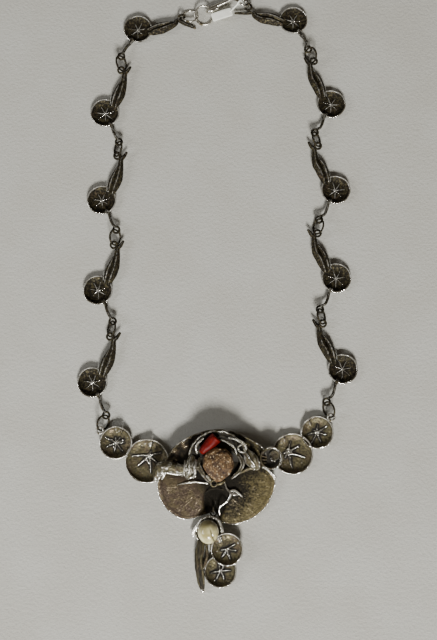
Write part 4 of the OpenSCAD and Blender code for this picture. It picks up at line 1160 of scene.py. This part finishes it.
def tag_parts():
    """A blank cut plate with soft edges, and the wire that ties it to the last ring."""
    _, turn, _, top, side = last_ring()
    plate = new_part()
    length, width, thick = TAG_SIZE
    bmesh.ops.create_cube(plate, size=1)
    bmesh.ops.scale(plate, vec=(length, width, thick), verts=plate.verts[:])
    upright = [e for e in plate.edges if abs(e.verts[0].co.z - e.verts[1].co.z) > thick / 2]
    bmesh.ops.bevel(plate, geom=upright, offset=TAG_CORNER, affect="EDGES", segments=4, profile=0.5,
                    material=-1)
    flat_edges = [e for e in plate.edges if abs(e.verts[0].co.z - e.verts[1].co.z) < 1e-6]
    bmesh.ops.bevel(plate, geom=flat_edges, offset=TAG_EDGE, affect="EDGES", segments=3, profile=0.5,
                    material=-1)
    cuts = [((length * (k / 12 - 0.5), 0, 0), (1, 0, 0)) for k in range(1, 12)]
    cuts += [((0, width * share, 0), (0, 1, 0)) for share in (-0.25, 0.0, 0.25)]
    for place, way in cuts:
        bmesh.ops.bisect_plane(plate, geom=plate.verts[:] + plate.edges[:] + plate.faces[:],
                               plane_co=place, plane_no=way)
    for vert in plate.verts:
        x, y = vert.co.x, vert.co.y
        vert.co.z += 0.10 * lump(x * 0.5, y * 0.6, 0, 120) - 0.012 * x * x + 0.08
        edge = max(abs(x) / (length / 2), abs(y) / (width / 2))
        paint(plate, vert, 0.05 + 0.6 * ease(0.9, 1, edge), 0, Vector((x * 0.3, y * 3, 0)))
    middle = Vector(TAG_AT) + Vector((0, 0, thick / 2))
    place = Matrix.Translation(middle) @ Matrix.Rotation(math.radians(TAG_TURN), 4, "Z")
    bmesh.ops.transform(plate, verts=plate.verts[:], matrix=place)
    plate_end = ahead(middle, length / 2 - 0.8, TAG_TURN)
    tie = strand([(*plate_end, 0.26), (*(top + side * TIE_R), 0.26)], sides=10, wear=0.6)
    return [plate, tie, wire_ring(top, on_edge(turn + 90), TIE_R, TIE_WIRE, seed=121, steps=32, sides=10)]


# Finishes

def fill(tree, node, values):
    """Fills a node's sockets: each is linked where its value is a socket, and else set."""
    for name, value in values.items():
        socket = node.inputs[name]
        if isinstance(value, bpy.types.NodeSocket):
            tree.links.new(value, socket)
        else:
            socket.default_value = value


def add_node(tree, kind, values=None, **settings):
    """Adds a node with its settings, and fills the sockets named in values."""
    made = tree.nodes.new(kind)
    for name, setting in settings.items():
        setattr(made, name, setting)
    fill(tree, made, values or {})
    return made


def maths(tree, operation, a, b, clamp=False):
    """One operation on two values, such as an addition."""
    return add_node(tree, "ShaderNodeMath", {0: a, 1: b}, operation=operation, use_clamp=clamp).outputs[0]


def mixed(tree, share, a, b):
    """Mixes two colours."""
    return add_node(tree, "ShaderNodeMix", {0: share, 6: a, 7: b}, data_type="RGBA").outputs[2]


def ranged(tree, value, low, high, to_low=0.0, to_high=1.0):
    """Stretches the range from low to high over another one, and clamps it there."""
    made = add_node(tree, "ShaderNodeMapRange", {
        "Value": value, "From Min": low, "From Max": high, "To Min": to_low, "To Max": to_high})
    return made.outputs["Result"]


def bumped(tree, height, strength, depth):
    """Normals bent by a height, with its depth in millimetres."""
    return add_node(tree, "ShaderNodeBump", {
        "Strength": strength, "Distance": depth * MM, "Height": height}).outputs["Normal"]


def attribute(tree, name):
    """The node that reads a painted layer."""
    return add_node(tree, "ShaderNodeAttribute", attribute_name=name, attribute_type="GEOMETRY")


def new_group(name, inputs, outputs):
    """A shader node group with named sockets: {name: (kind, default)} in, and {name: kind} out."""
    group = bpy.data.node_groups.new(name, "ShaderNodeTree")
    for socket_name, (kind, default) in inputs.items():
        socket = group.interface.new_socket(socket_name, in_out="INPUT", socket_type=kind)
        socket.default_value = default
    for socket_name, kind in outputs.items():
        group.interface.new_socket(socket_name, in_out="OUTPUT", socket_type=kind)
    return group, group.nodes.new("NodeGroupInput").outputs, group.nodes.new("NodeGroupOutput").inputs


FLOAT = "NodeSocketFloat"
COLOUR = "NodeSocketColor"
TARNISH = "Tarnish"
PER_MM = 1000.0


def noise_at(tree, place, scale, detail, roughness):
    """Noise read at a place, or along a painted grain."""
    return add_node(tree, "ShaderNodeTexNoise", {
        "Vector": place, "Scale": scale, "Detail": detail, "Roughness": roughness}).outputs["Fac"]


def on_object(tree, scale, detail, roughness):
    """Noise on the piece's own coordinates, with its scale in waves per metre."""
    place = add_node(tree, "ShaderNodeTexCoord").outputs["Object"]
    return noise_at(tree, place, scale, detail, roughness)


def made_once(store, name):
    """Lets a maker of a material or a node group run once, and finds what it made on later calls."""
    def mark(maker):
        def find_or_make(*given):
            return getattr(bpy.data, store).get(name) or maker(name, *given)
        return find_or_make
    return mark


@made_once("node_groups", "Rubbed metal")
def wear_group(name):
    """Where the metal is rubbed bright: the painted wear, broken up by fine noise."""
    tree, given, result = new_group(
        name, {"Amount": (FLOAT, 1.0), "Break up": (FLOAT, 0.5), "Lines": (FLOAT, 0.0)},
        {"Mask": FLOAT, "Soot and shade": FLOAT})
    wear = attribute(tree, "wear").outputs["Fac"]
    soot_and_shade = attribute(tree, "soot_and_shade").outputs["Fac"]
    fine = on_object(tree, 1.6 * PER_MM, 4.0, 0.65)
    uneven = maths(tree, "MULTIPLY", maths(tree, "SUBTRACT", fine, 0.5), given["Break up"])
    level = maths(tree, "ADD", maths(tree, "MULTIPLY", wear, given["Amount"]), uneven)
    run = attribute(tree, "grain").outputs["Vector"]
    fibre = noise_at(tree, run, 4.0, 3.0, 0.6)
    lines = maths(tree, "MULTIPLY", maths(tree, "SUBTRACT", fibre, 0.5), given["Lines"])
    level = maths(tree, "ADD", level, lines)
    kept = maths(tree, "SUBTRACT", level, maths(tree, "MULTIPLY", soot_and_shade, 0.6))
    # The dark layer passed on here holds tarnish and painted shade.
    stain_and_shade = maths(tree, "ADD", soot_and_shade, maths(tree, "MULTIPLY", uneven, 0.6), clamp=True)
    tree.links.new(ranged(tree, kept, 0.28, 0.78), result["Mask"])
    tree.links.new(stain_and_shade, result["Soot and shade"])
    return tree


@made_once("node_groups", TARNISH)
def tarnish_group(name):
    """The colour and gloss of tarnished silver, from thin olive through rosy to deep tarnish, which also
    stands for painted shade.
    """
    inputs = {
        "Bare": (COLOUR, (0.8, 0.8, 0.8, 1)), "Thin": (COLOUR, (0.3, 0.2, 0.1, 1)),
        "Warm": (COLOUR, (0.3, 0.2, 0.1, 1)), "Deep": (COLOUR, (0.02, 0.02, 0.02, 1)),
        "Wear": (FLOAT, 0.0), "Soot and shade": (FLOAT, 0.0), "Darkness": (FLOAT, 0.5), "Warmth": (FLOAT, 0.0),
        "Metalness": (FLOAT, 0.8), "Dullness": (FLOAT, 0.35),
    }
    tree, given, result = new_group(name, inputs, {"Color": COLOUR, "Roughness": FLOAT, "Metal": FLOAT})
    cloud = on_object(tree, 0.35 * PER_MM, 4.0, 0.6)
    speck = on_object(tree, 1.3 * PER_MM, 5.0, 0.7)
    warm = maths(tree, "ADD", ranged(tree, cloud, 0.42, 0.66, -0.2, 0.7), given["Warmth"], clamp=True)
    skin = mixed(tree, warm, given["Thin"], given["Warm"])
    dark = maths(tree, "ADD", ranged(tree, speck, 0.36, 0.68, -0.5, 0.5), given["Darkness"], clamp=True)
    dark = maths(tree, "MAXIMUM", dark, given["Soot and shade"])
    skin = mixed(tree, dark, skin, given["Deep"])
    skin = mixed(tree, given["Wear"], skin, given["Bare"])
    tree.links.new(skin, result["Color"])
    dull = maths(tree, "ADD", given["Dullness"], maths(tree, "MULTIPLY", dark, 0.35))
    gloss = maths(tree, "ADD", ranged(tree, given["Wear"], 0, 1, dull, 0.14),
                  ranged(tree, speck, 0.3, 0.7, -0.06, 0.08))
    tree.links.new(gloss, result["Roughness"])
    metal = maths(tree, "MULTIPLY", given["Metalness"], ranged(tree, dark, 0, 1, 1.0, 0.1))
    tree.links.new(ranged(tree, given["Wear"], 0, 1, metal, 1.0), result["Metal"])
    return tree


@made_once("node_groups", "Grain")
def grain_group(name):
    """Fine relief that follows the painted run of the grain: veins on a pad, fibres along a strand."""
    tree, given, result = new_group(name, {"Fineness": (FLOAT, 2.0), "Pits": (FLOAT, 0.3)}, {"Height": FLOAT})
    run = attribute(tree, "grain").outputs["Vector"]
    fibre = noise_at(tree, run, given["Fineness"], 4.0, 0.6)
    pits = ranged(tree, on_object(tree, 2.4 * PER_MM, 2.0, 0.5), 0.3, 0.45)
    tree.links.new(maths(tree, "ADD", fibre, maths(tree, "MULTIPLY", pits, given["Pits"])), result["Height"])
    return tree


def rgba(value):
    return (*value, 1.0)


def bare_material(name, fallback):
    """A new material, its node tree and its shader. fallback is its colour in the plain viewport."""
    material = bpy.data.materials.new(name)
    material.use_nodes = True
    material.diffuse_color = rgba(fallback)
    return material, material.node_tree, material.node_tree.nodes["Principled BSDF"]


def silver(name, colours, relief, amount=1.0, break_up=0.5, lines=0.0, darkness=0.5, metalness=0.9,
           dullness=0.32, gleam=0.35, fineness=2.0, pits=0.3):
    """Tarnished silver: how worn, dark, metallic and dull it is, and how strong its grain is."""
    material, tree, shader = bare_material(name, colours.olive)
    rubbed = add_node(tree, "ShaderNodeGroup", {"Amount": amount, "Break up": break_up, "Lines": lines},
                      node_tree=wear_group())
    skin = add_node(tree, "ShaderNodeGroup", {
        "Bare": rgba(colours.bare), "Thin": rgba(colours.olive), "Warm": rgba(colours.rosy),
        "Deep": rgba(colours.deep), "Wear": rubbed.outputs["Mask"], "Soot and shade": rubbed.outputs["Soot and shade"],
        "Darkness": darkness, "Metalness": metalness, "Dullness": dullness}, node_tree=tarnish_group())
    grain = add_node(tree, "ShaderNodeGroup", {"Fineness": fineness, "Pits": pits}, node_tree=grain_group())
    fill(tree, shader, {
        "Base Color": skin.outputs["Color"], "Roughness": skin.outputs["Roughness"],
        "Metallic": skin.outputs["Metal"], "Specular IOR Level": gleam,
        "Normal": bumped(tree, grain.outputs["Height"], relief, 0.12)})
    return material


def tarnish_of(material):
    """The node in a silver that holds its tarnish."""
    return next(n for n in material.node_tree.nodes if n.type == "GROUP" and n.node_tree.name == TARNISH)


@made_once("materials", "leaf_silver")
def leaf_silver(name, colours):
    """The broad leaf: rosy on its left lobe, green to gold on its right one, and darker towards the heart
    with tarnish and painted shade round the bud.
    """
    material = silver(name, colours, break_up=1.4, lines=1.7, metalness=0.25, dullness=0.52, gleam=0.2,
                      fineness=3.0, pits=0.7, relief=1.0)
    tree = material.node_tree
    place = add_node(tree, "ShaderNodeTexCoord").outputs["Object"]
    heart = LEAF_TO_MIDDLE + Vector((*LEAF_HEART, 0))
    centred = add_node(tree, "ShaderNodeMapping", {
        "Vector": place, "Location": -heart, "Scale": (PER_MM,) * 3}).outputs["Vector"]
    across = add_node(tree, "ShaderNodeSeparateXYZ", {"Vector": centred}).outputs["X"]
    drift = ranged(tree, on_object(tree, 0.25 * PER_MM, 3.0, 0.6), 0.3, 0.7, -2.5, 2.5)
    leftness = ranged(tree, maths(tree, "ADD", across, drift), 2.0, -5.0)
    away = add_node(tree, "ShaderNodeVectorMath", {0: centred}, operation="LENGTH").outputs["Value"]
    away = maths(tree, "ADD", away, drift)
    # Painted shade round the bud: darker towards the heart, reaching further out on the right lobe than on
    # the left.
    near = ranged(tree, away, 19.5, 8.0, 0.0, 1.35)
    left_near = ranged(tree, away, 9.5, 4.5, 0.15, 1.0)
    dark = add_node(tree, "ShaderNodeMix", {0: leftness, 2: near, 3: left_near}, data_type="FLOAT")
    fill(tree, tarnish_of(material), {
        "Bare": rgba(colours.leaf_bare), "Thin": rgba(colours.leaf_green), "Warm": rgba(colours.leaf_rose),
        "Warmth": ranged(tree, leftness, 0, 1, -0.35, 0.85), "Darkness": dark.outputs[0]})
    return material


@made_once("materials", "bud_stone_crust")
def stone_material(name, colours):
    """Rough brown stone with a pale crust, dark veins, glints and a dark pit."""
    material, tree, shader = bare_material(name, colours.stone)
    crust = on_object(tree, 0.7 * PER_MM, 6.0, 0.75)
    speck = on_object(tree, 1.5 * PER_MM, 4.0, 0.7)
    veins = on_object(tree, 0.45 * PER_MM, 5.0, 0.65)
    glint = ranged(tree, on_object(tree, 1.9 * PER_MM, 1.0, 0.4), 0.66, 0.72)
    pit = maths(tree, "MULTIPLY", attribute(tree, "soot_and_shade").outputs["Fac"], 0.8, clamp=True)
    skin = mixed(tree, ranged(tree, crust, 0.44, 0.60), rgba(colours.stone), rgba(colours.stone_pale))
    skin = mixed(tree, ranged(tree, speck, 0.57, 0.64, 0.0, 0.9), skin, STONE_SPECK)
    skin = mixed(tree, ranged(tree, veins, 0.50, 0.40, 0.0, 0.85), skin, STONE_VEIN)
    skin = mixed(tree, glint, skin, STONE_GLINT)
    skin = mixed(tree, pit, skin, STONE_PIT)
    rough = ranged(tree, speck, 0.3, 0.7, 0.60, 0.35)
    height = maths(tree, "ADD", crust, maths(tree, "MULTIPLY", speck, 0.5))
    fill(tree, shader, {
        "Base Color": skin, "Roughness": maths(tree, "SUBTRACT", rough, maths(tree, "MULTIPLY", glint, 0.2)),
        "Specular IOR Level": 0.35, "Normal": bumped(tree, height, 1.0, 0.5)})
    return material


@made_once("materials", "coral_polish")
def coral_material(name, colours):
    """Polished red coral with brighter clouds and fine dark flecks."""
    material, tree, shader = bare_material(name, colours.coral)
    cloud = on_object(tree, 0.5 * PER_MM, 3.0, 0.6)
    fine = on_object(tree, 3.0 * PER_MM, 3.0, 0.6)
    skin = mixed(tree, ranged(tree, cloud, 0.35, 0.65), rgba(colours.coral), CORAL_CLOUD)
    skin = mixed(tree, ranged(tree, fine, 0.54, 0.66, 0.0, 0.7), skin, CORAL_FLECK)
    fill(tree, shader, {
        "Base Color": skin, "Roughness": ranged(tree, fine, 0.3, 0.7, 0.36, 0.56),
        "Specular IOR Level": 0.14, "Normal": bumped(tree, fine, 0.3, 0.10)})
    return material


@made_once("materials", "pearl_lustre")
def pearl_material(name, colours):
    """A lustrous pearl with painted shade in its crease and towards its top."""
    material, tree, shader = bare_material(name, colours.pearl)
    cloud = on_object(tree, 0.30 * PER_MM, 3.0, 0.5)
    crease = attribute(tree, "soot_and_shade").outputs["Fac"]
    ripple = on_object(tree, 1.1 * PER_MM, 2.0, 0.5)
    skin = mixed(tree, ranged(tree, cloud, 0.35, 0.65), rgba(colours.pearl), PEARL_CLOUD)
    # Painted shade, mixed in where the dark layer is high.
    skin = mixed(tree, ranged(tree, crease, 0.05, 0.95, 0.0, 0.95), skin, PEARL_SHADE)
    fill(tree, shader, {
        "Base Color": skin, "Roughness": ranged(tree, cloud, 0.3, 0.7, 0.16, 0.28),
        "Coat Weight": 1.0, "Coat Roughness": 0.16, "Sheen Weight": 0.2,
        "Normal": bumped(tree, ripple, 0.25, 0.15)})
    return material


@made_once("materials", "floor_card")
def floor_material(name, colours):
    """Pale card with faint clouds and a fine tooth."""
    material, tree, shader = bare_material(name, colours.floor)
    cloud = on_object(tree, 45.0, 3.0, 0.5)
    fibre = on_object(tree, 900.0, 5.0, 0.7)
    skin = mixed(tree, ranged(tree, cloud, 0.35, 0.65, 0.0, 0.5), rgba(colours.floor), FLOOR_CLOUD)
    skin = mixed(tree, ranged(tree, fibre, 0.4, 0.6, 0.0, 0.10), skin, FLOOR_FIBRE)
    fill(tree, shader, {"Base Color": skin, "Roughness": 0.8, "Normal": bumped(tree, fibre, 0.6, 0.5)})
    return material


@made_once("materials", "dark_silver")
def dark_silver(name, colours):
    """The blackened silver of the chain."""
    return silver(name, colours, amount=0.92, break_up=0.9, lines=0.5, darkness=1.0, dullness=0.25,
                  gleam=0.12, relief=0.8)


@made_once("materials", "pad_silver")
def pad_silver(name, colours):
    """Half tarnished silver, for the pads at the leaf and in the drop."""
    return silver(name, colours, break_up=0.6, darkness=0.52, metalness=0.8, dullness=0.38, pits=0.5,
                  relief=0.7)


@made_once("materials", "branch_silver")
def branch_silver(name, colours):
    """Barky cast silver, dark between its bright ridges."""
    return silver(name, colours, break_up=0.9, lines=0.5, darkness=0.62, metalness=0.85, fineness=2.6,
                  pits=0.4, relief=0.9)


@made_once("materials", "tag_silver")
def tag_silver(name, colours):
    """Cut sheet metal with a matt pale face."""
    material = silver(name, colours, amount=0.4, break_up=0.2, metalness=0.0, dullness=0.5, relief=0.2)
    fill(material.node_tree, tarnish_of(material), {"Thin": TAG_FACE, "Warm": TAG_FACE, "Deep": TAG_FACE})
    return material


@made_once("materials", "wire_silver")
def wire_silver(name, colours):
    """Bright drawn wire."""
    return silver(name, colours, amount=1.05, break_up=0.35, darkness=0.2, fineness=1.4, pits=0.1, relief=0.2)


@made_once("materials", "ring_silver")
def ring_silver(name, colours):
    """Dull dark wire, for the hidden rings."""
    return silver(name, colours, darkness=1.1, dullness=0.5, relief=0.2)


# Finishing a piece

def finish_piece(name, parts, material, node=None):
    """Turns parts into one object at the origin, in metres, that rides the frame and may replace a node."""
    whole = join(parts)
    for vert in whole.verts:
        vert.co.z = max(vert.co.z, 0.0)
    place = Matrix.Scale(MM, 4) @ Matrix.Translation(LEAF_TO_MIDDLE)
    bmesh.ops.transform(whole, verts=whole.verts[:], matrix=place)
    mesh = bpy.data.meshes.new(name)
    whole.to_mesh(mesh)
    whole.free()
    mesh.shade_smooth()
    mesh.materials.append(material)
    piece = bpy.data.objects.new(name, mesh)
    bpy.context.scene.collection.objects.link(piece)
    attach(piece, "root")
    if node:
        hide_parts(node)
    return piece


def necklace(context):
    """The sizes and the colours that the panel shows."""
    return context.scene.necklace_sizes, context.scene.necklace_colours


class NECKLACE_OT_links(bpy.types.Operator):
    """Builds the ten cast links of the chain"""

    bl_idname = "necklace.links"
    bl_label = "Chain Links"

    def execute(self, context):
        sizes, colours = necklace(context)
        for side, rows in LINKS.items():
            for index, (x, y, turn) in enumerate(rows, start=1):
                whole = join(link_parts(side, index, sizes))
                if side == "right":
                    bmesh.ops.scale(whole, vec=(-1, 1, 1), verts=whole.verts[:])
                    bmesh.ops.reverse_faces(whole, faces=whole.faces[:])
                place = Matrix.Translation((x, y, 0)) @ Matrix.Rotation(math.radians(turn), 4, "Z")
                bmesh.ops.transform(whole, verts=whole.verts[:], matrix=place)
                finish_piece(f"lily_link_{side}_{index}", [whole], dark_silver(colours),
                             f"link_{side}_{index}")
        return {"FINISHED"}


class NECKLACE_OT_rings(bpy.types.Operator):
    """Builds the jump rings of the chain and of the clasp"""

    bl_idname = "necklace.rings"
    bl_label = "Jump Rings"

    def execute(self, context):
        sizes, colours = necklace(context)
        metal = wire_silver(colours)
        mid_r, wire = sizes.ring_r / MM, sizes.ring_wire / MM
        for side, sign in SIDE.items():
            for index in range(1, 6):
                start = stem_eye(side, index)
                end = blade_eye(side, index + 1) if index < 5 else PADS_EYE[side]
                turn = math.degrees(math.atan2(end.y - start.y, end.x - start.x))
                lean = JUMP_LEAN * sign * (1 if index % 2 == 0 else -1)
                ring = wire_ring((start + end) / 2, leaning(turn, lean), mid_r, wire, wear=0.28, soot_and_shade=0.3,
                                 seed=index + 30 * sign)
                finish_piece(f"jump_ring_{side}_{index}", [ring], dark_silver(colours),
                             f"ring_{side}_{index}")
        ring_a, ring_b, _, _ = clasp_places()
        middle, turn, lean, _, _ = last_ring()
        for name, place, spec in (("ring_left_0", ring_a, RING_A), ("ring_catch", ring_b, RING_B)):
            turned = leaning(CLASP_TURN, spec["lean"])
            ring = wire_ring(place, turned, spec["r"], spec["wire"], seed=spec["lean"])
            finish_piece(f"clasp_{name}", [ring], metal, name)
        ring = wire_ring(middle, leaning(turn, lean), LAST_RING["r"], LAST_RING["wire"], seed=9)
        finish_piece("clasp_ring_right_0", [ring], metal, "ring_right_0")
        return {"FINISHED"}


class NECKLACE_OT_clasp(bpy.types.Operator):
    """Builds the hook and the blank tag"""

    bl_idname = "necklace.clasp"
    bl_label = "Hook and Tag"

    def execute(self, context):
        colours = necklace(context)[1]
        finish_piece("clasp_hook", hook_parts(), wire_silver(colours), "hook")
        finish_piece("clasp_tag", tag_parts(), tag_silver(colours), "tag")
        return {"FINISHED"}


class NECKLACE_OT_side_pads(bpy.types.Operator):
    """Builds the two pads on each side of the broad leaf"""

    bl_idname = "necklace.side_pads"
    bl_label = "Side Pads"

    def execute(self, context):
        sizes, colours = necklace(context)
        for side in SIDE:
            finish_piece(f"side_pads_{side}", side_pads(side, sizes), pad_silver(colours),
                         f"pads_{side}")
        return {"FINISHED"}


class NECKLACE_OT_leaf(bpy.types.Operator):
    """Builds the broad leaf, its hollow and the curled leaf behind the bud"""

    bl_idname = "necklace.leaf"
    bl_label = "Broad Leaf"

    def execute(self, context):
        sizes, colours = necklace(context)
        leaf = leaf_silver(colours)
        pads = pad_silver(colours)
        finish_piece("broad_leaf", [leaf_sheet(sizes)], leaf, "centre_leaf")
        finish_piece("broad_leaf_rim", [leaf_rim(sizes)], pads)
        finish_piece("leaf_hollow", hollow_parts(), dark_silver(colours))
        finish_piece("curled_leaf", curled_leaf(), branch_silver(colours))
        return {"FINISHED"}


class NECKLACE_OT_growth(bpy.types.Operator):
    """Builds the branch, sepals, petal bud, small cup and bright wires on the leaf"""

    bl_idname = "necklace.growth"
    bl_label = "Branch and Buds"

    def execute(self, context):
        sizes, colours = necklace(context)
        wood = branch_silver(colours)
        finish_piece("branch", branch_parts(), wood)
        for seed, (side, rows) in enumerate(SEPALS.items(), start=4):
            sepal = strand(rows, steps=7, sides=14, flat=0.75, groove=0.55, bark=0.22, wear=0.50, soot_and_shade=0.20,
                           seed=seed)
            finish_piece(f"sepal_{side}", [sepal], wood)
        finish_piece("petal_bud", petal_parts(), pad_silver(colours))
        finish_piece("calyx_cup", calyx_parts(sizes), wood)
        finish_piece("tendril", wire_parts(), wire_silver(colours))
        return {"FINISHED"}


class NECKLACE_OT_stones(bpy.types.Operator):
    """Builds the bud stone, the coral stub and the pearl"""

    bl_idname = "necklace.stones"
    bl_label = "Stones"

    def execute(self, context):
        colours = necklace(context)[1]
        finish_piece("rough_stone", [bud_stone_part()], stone_material(colours), "bud_stone")
        finish_piece("coral_stub", [coral_part()], coral_material(colours), "coral")
        finish_piece("baroque_pearl", [pearl_part()], pearl_material(colours), "pearl")
        return {"FINISHED"}


class NECKLACE_OT_drop(bpy.types.Operator):
    """Builds the pearl cup, twig and two pads of the drop"""

    bl_idname = "necklace.drop"
    bl_label = "Pearl Drop"

    def execute(self, context):
        sizes, colours = necklace(context)
        finish_piece("drop_pads", drop_parts(sizes), pad_silver(colours), "pearl_drop")
        finish_piece("pearl_cup", pearl_cup_parts(), branch_silver(colours))
        return {"FINISHED"}


class NECKLACE_OT_hinges(bpy.types.Operator):
    """Gives the hidden rings behind the leaf their finish"""

    bl_idname = "necklace.hinges"
    bl_label = "Hidden Rings"

    def execute(self, context):
        metal = ring_silver(necklace(context)[1])
        for name in ("hinge_left", "hinge_right", "hinge_drop"):
            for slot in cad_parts[name].material_slots:
                slot.material = metal
        return {"FINISHED"}


# Stage: where the camera looks, and where each lamp stands seen from there
CAMERA_TARGET = (0, 57.03, 0)
CAMERA_REACH = 300
CAMERA_TILT = 8
CAMERA_LENS = 45.96
CAMERA_FILM = 36
LAMPS = {
    "key_lamp": dict(turn=-84, rise=38, reach=1.60, size=0.36, watts=43.0, tint=(1.0, 0.985, 0.95)),
    "left_lamp": dict(turn=186, rise=34, reach=0.80, size=0.30, watts=2.2, tint=(0.98, 0.99, 1.0)),
}
LAMP_TARGET = (0, 40, 0)
WORLD_COLOUR = (0.95, 0.82, 0.66, 1)
WORLD_STRENGTH = 0.10
FLOOR_SIDE = 3.0


def in_frame(place):
    """A place in the frame, in metres, from one in this script's millimetres."""
    return (Vector(place) + LEAF_TO_MIDDLE) * MM


def look_at(thing, target):
    """Turns the camera or a lamp towards a place."""
    thing.rotation_euler = (target - thing.location).to_track_quat("-Z", "Y").to_euler()


class NECKLACE_OT_stage(bpy.types.Operator):
    """Makes the floor, the lamps and the camera"""

    bl_idname = "necklace.stage"
    bl_label = "Stage"

    def execute(self, context):
        scene = context.scene
        target = in_frame(CAMERA_TARGET)
        tilt = math.radians(CAMERA_TILT)
        camera = bpy.data.objects.new("camera", bpy.data.cameras.new("camera"))
        camera.data.sensor_fit = "VERTICAL"
        camera.data.sensor_height = CAMERA_FILM
        camera.data.lens = CAMERA_LENS
        camera.data.clip_start = 0.01
        camera.location = target + CAMERA_REACH * MM * Vector((0, -math.sin(tilt), math.cos(tilt)))
        look_at(camera, target)
        scene.collection.objects.link(camera)
        scene.camera = camera
        for name, lamp in LAMPS.items():
            light = bpy.data.lights.new(name, "AREA")
            light.energy = lamp["watts"]
            light.size = lamp["size"]
            light.color = lamp["tint"]
            holder = bpy.data.objects.new(name, light)
            rise = math.radians(lamp["rise"])
            way = heading(lamp["turn"]) * math.cos(rise) + UP * math.sin(rise)
            holder.location = in_frame(LAMP_TARGET) + way * lamp["reach"]
            look_at(holder, in_frame(LAMP_TARGET))
            scene.collection.objects.link(holder)
        world = bpy.data.worlds.new("soft_room")
        world.use_nodes = True
        sky = world.node_tree.nodes["Background"]
        sky.inputs["Color"].default_value = WORLD_COLOUR
        sky.inputs["Strength"].default_value = WORLD_STRENGTH
        scene.world = world
        sheet = bmesh.new()
        bmesh.ops.create_grid(sheet, x_segments=1, y_segments=1, size=FLOOR_SIDE / 2)
        mesh = bpy.data.meshes.new("floor")
        sheet.to_mesh(mesh)
        sheet.free()
        mesh.materials.append(floor_material(scene.necklace_colours))
        floor = bpy.data.objects.new("floor", mesh)
        scene.collection.objects.link(floor)
        return {"FINISHED"}


class NECKLACE_PT_panel(bpy.types.Panel):
    """Lists the sizes, the colours and the steps of the necklace"""

    bl_label = "Lily Pad Necklace"
    bl_space_type = "VIEW_3D"
    bl_region_type = "UI"
    bl_category = "Necklace"

    def draw(self, context):
        sizes, colours = necklace(context)
        for group in (sizes, colours):
            column = self.layout.column(align=True)
            for name in group.bl_rna.properties.keys():
                if name not in ("rna_type", "name"):
                    column.prop(group, name)
        for step in STEPS:
            self.layout.operator(step.bl_idname)


STEPS = (
    NECKLACE_OT_stage, NECKLACE_OT_links, NECKLACE_OT_rings, NECKLACE_OT_clasp, NECKLACE_OT_side_pads,
    NECKLACE_OT_leaf, NECKLACE_OT_growth, NECKLACE_OT_stones, NECKLACE_OT_drop, NECKLACE_OT_hinges,
)
CLASSES = (NecklaceSizes, NecklaceColours, *STEPS, NECKLACE_PT_panel)


def register():
    for cls in CLASSES:
        bpy.utils.register_class(cls)
    bpy.types.Scene.necklace_sizes = bpy.props.PointerProperty(type=NecklaceSizes)
    bpy.types.Scene.necklace_colours = bpy.props.PointerProperty(type=NecklaceColours)


def unregister():
    del bpy.types.Scene.necklace_colours
    del bpy.types.Scene.necklace_sizes
    for cls in reversed(CLASSES):
        bpy.utils.unregister_class(cls)


def main():
    register()
    bpy.ops.necklace.stage()
    bpy.ops.necklace.links()
    bpy.ops.necklace.rings()
    bpy.ops.necklace.clasp()
    bpy.ops.necklace.side_pads()
    bpy.ops.necklace.leaf()
    bpy.ops.necklace.growth()
    bpy.ops.necklace.stones()
    bpy.ops.necklace.drop()
    bpy.ops.necklace.hinges()


if __name__ == "__main__":
    main()
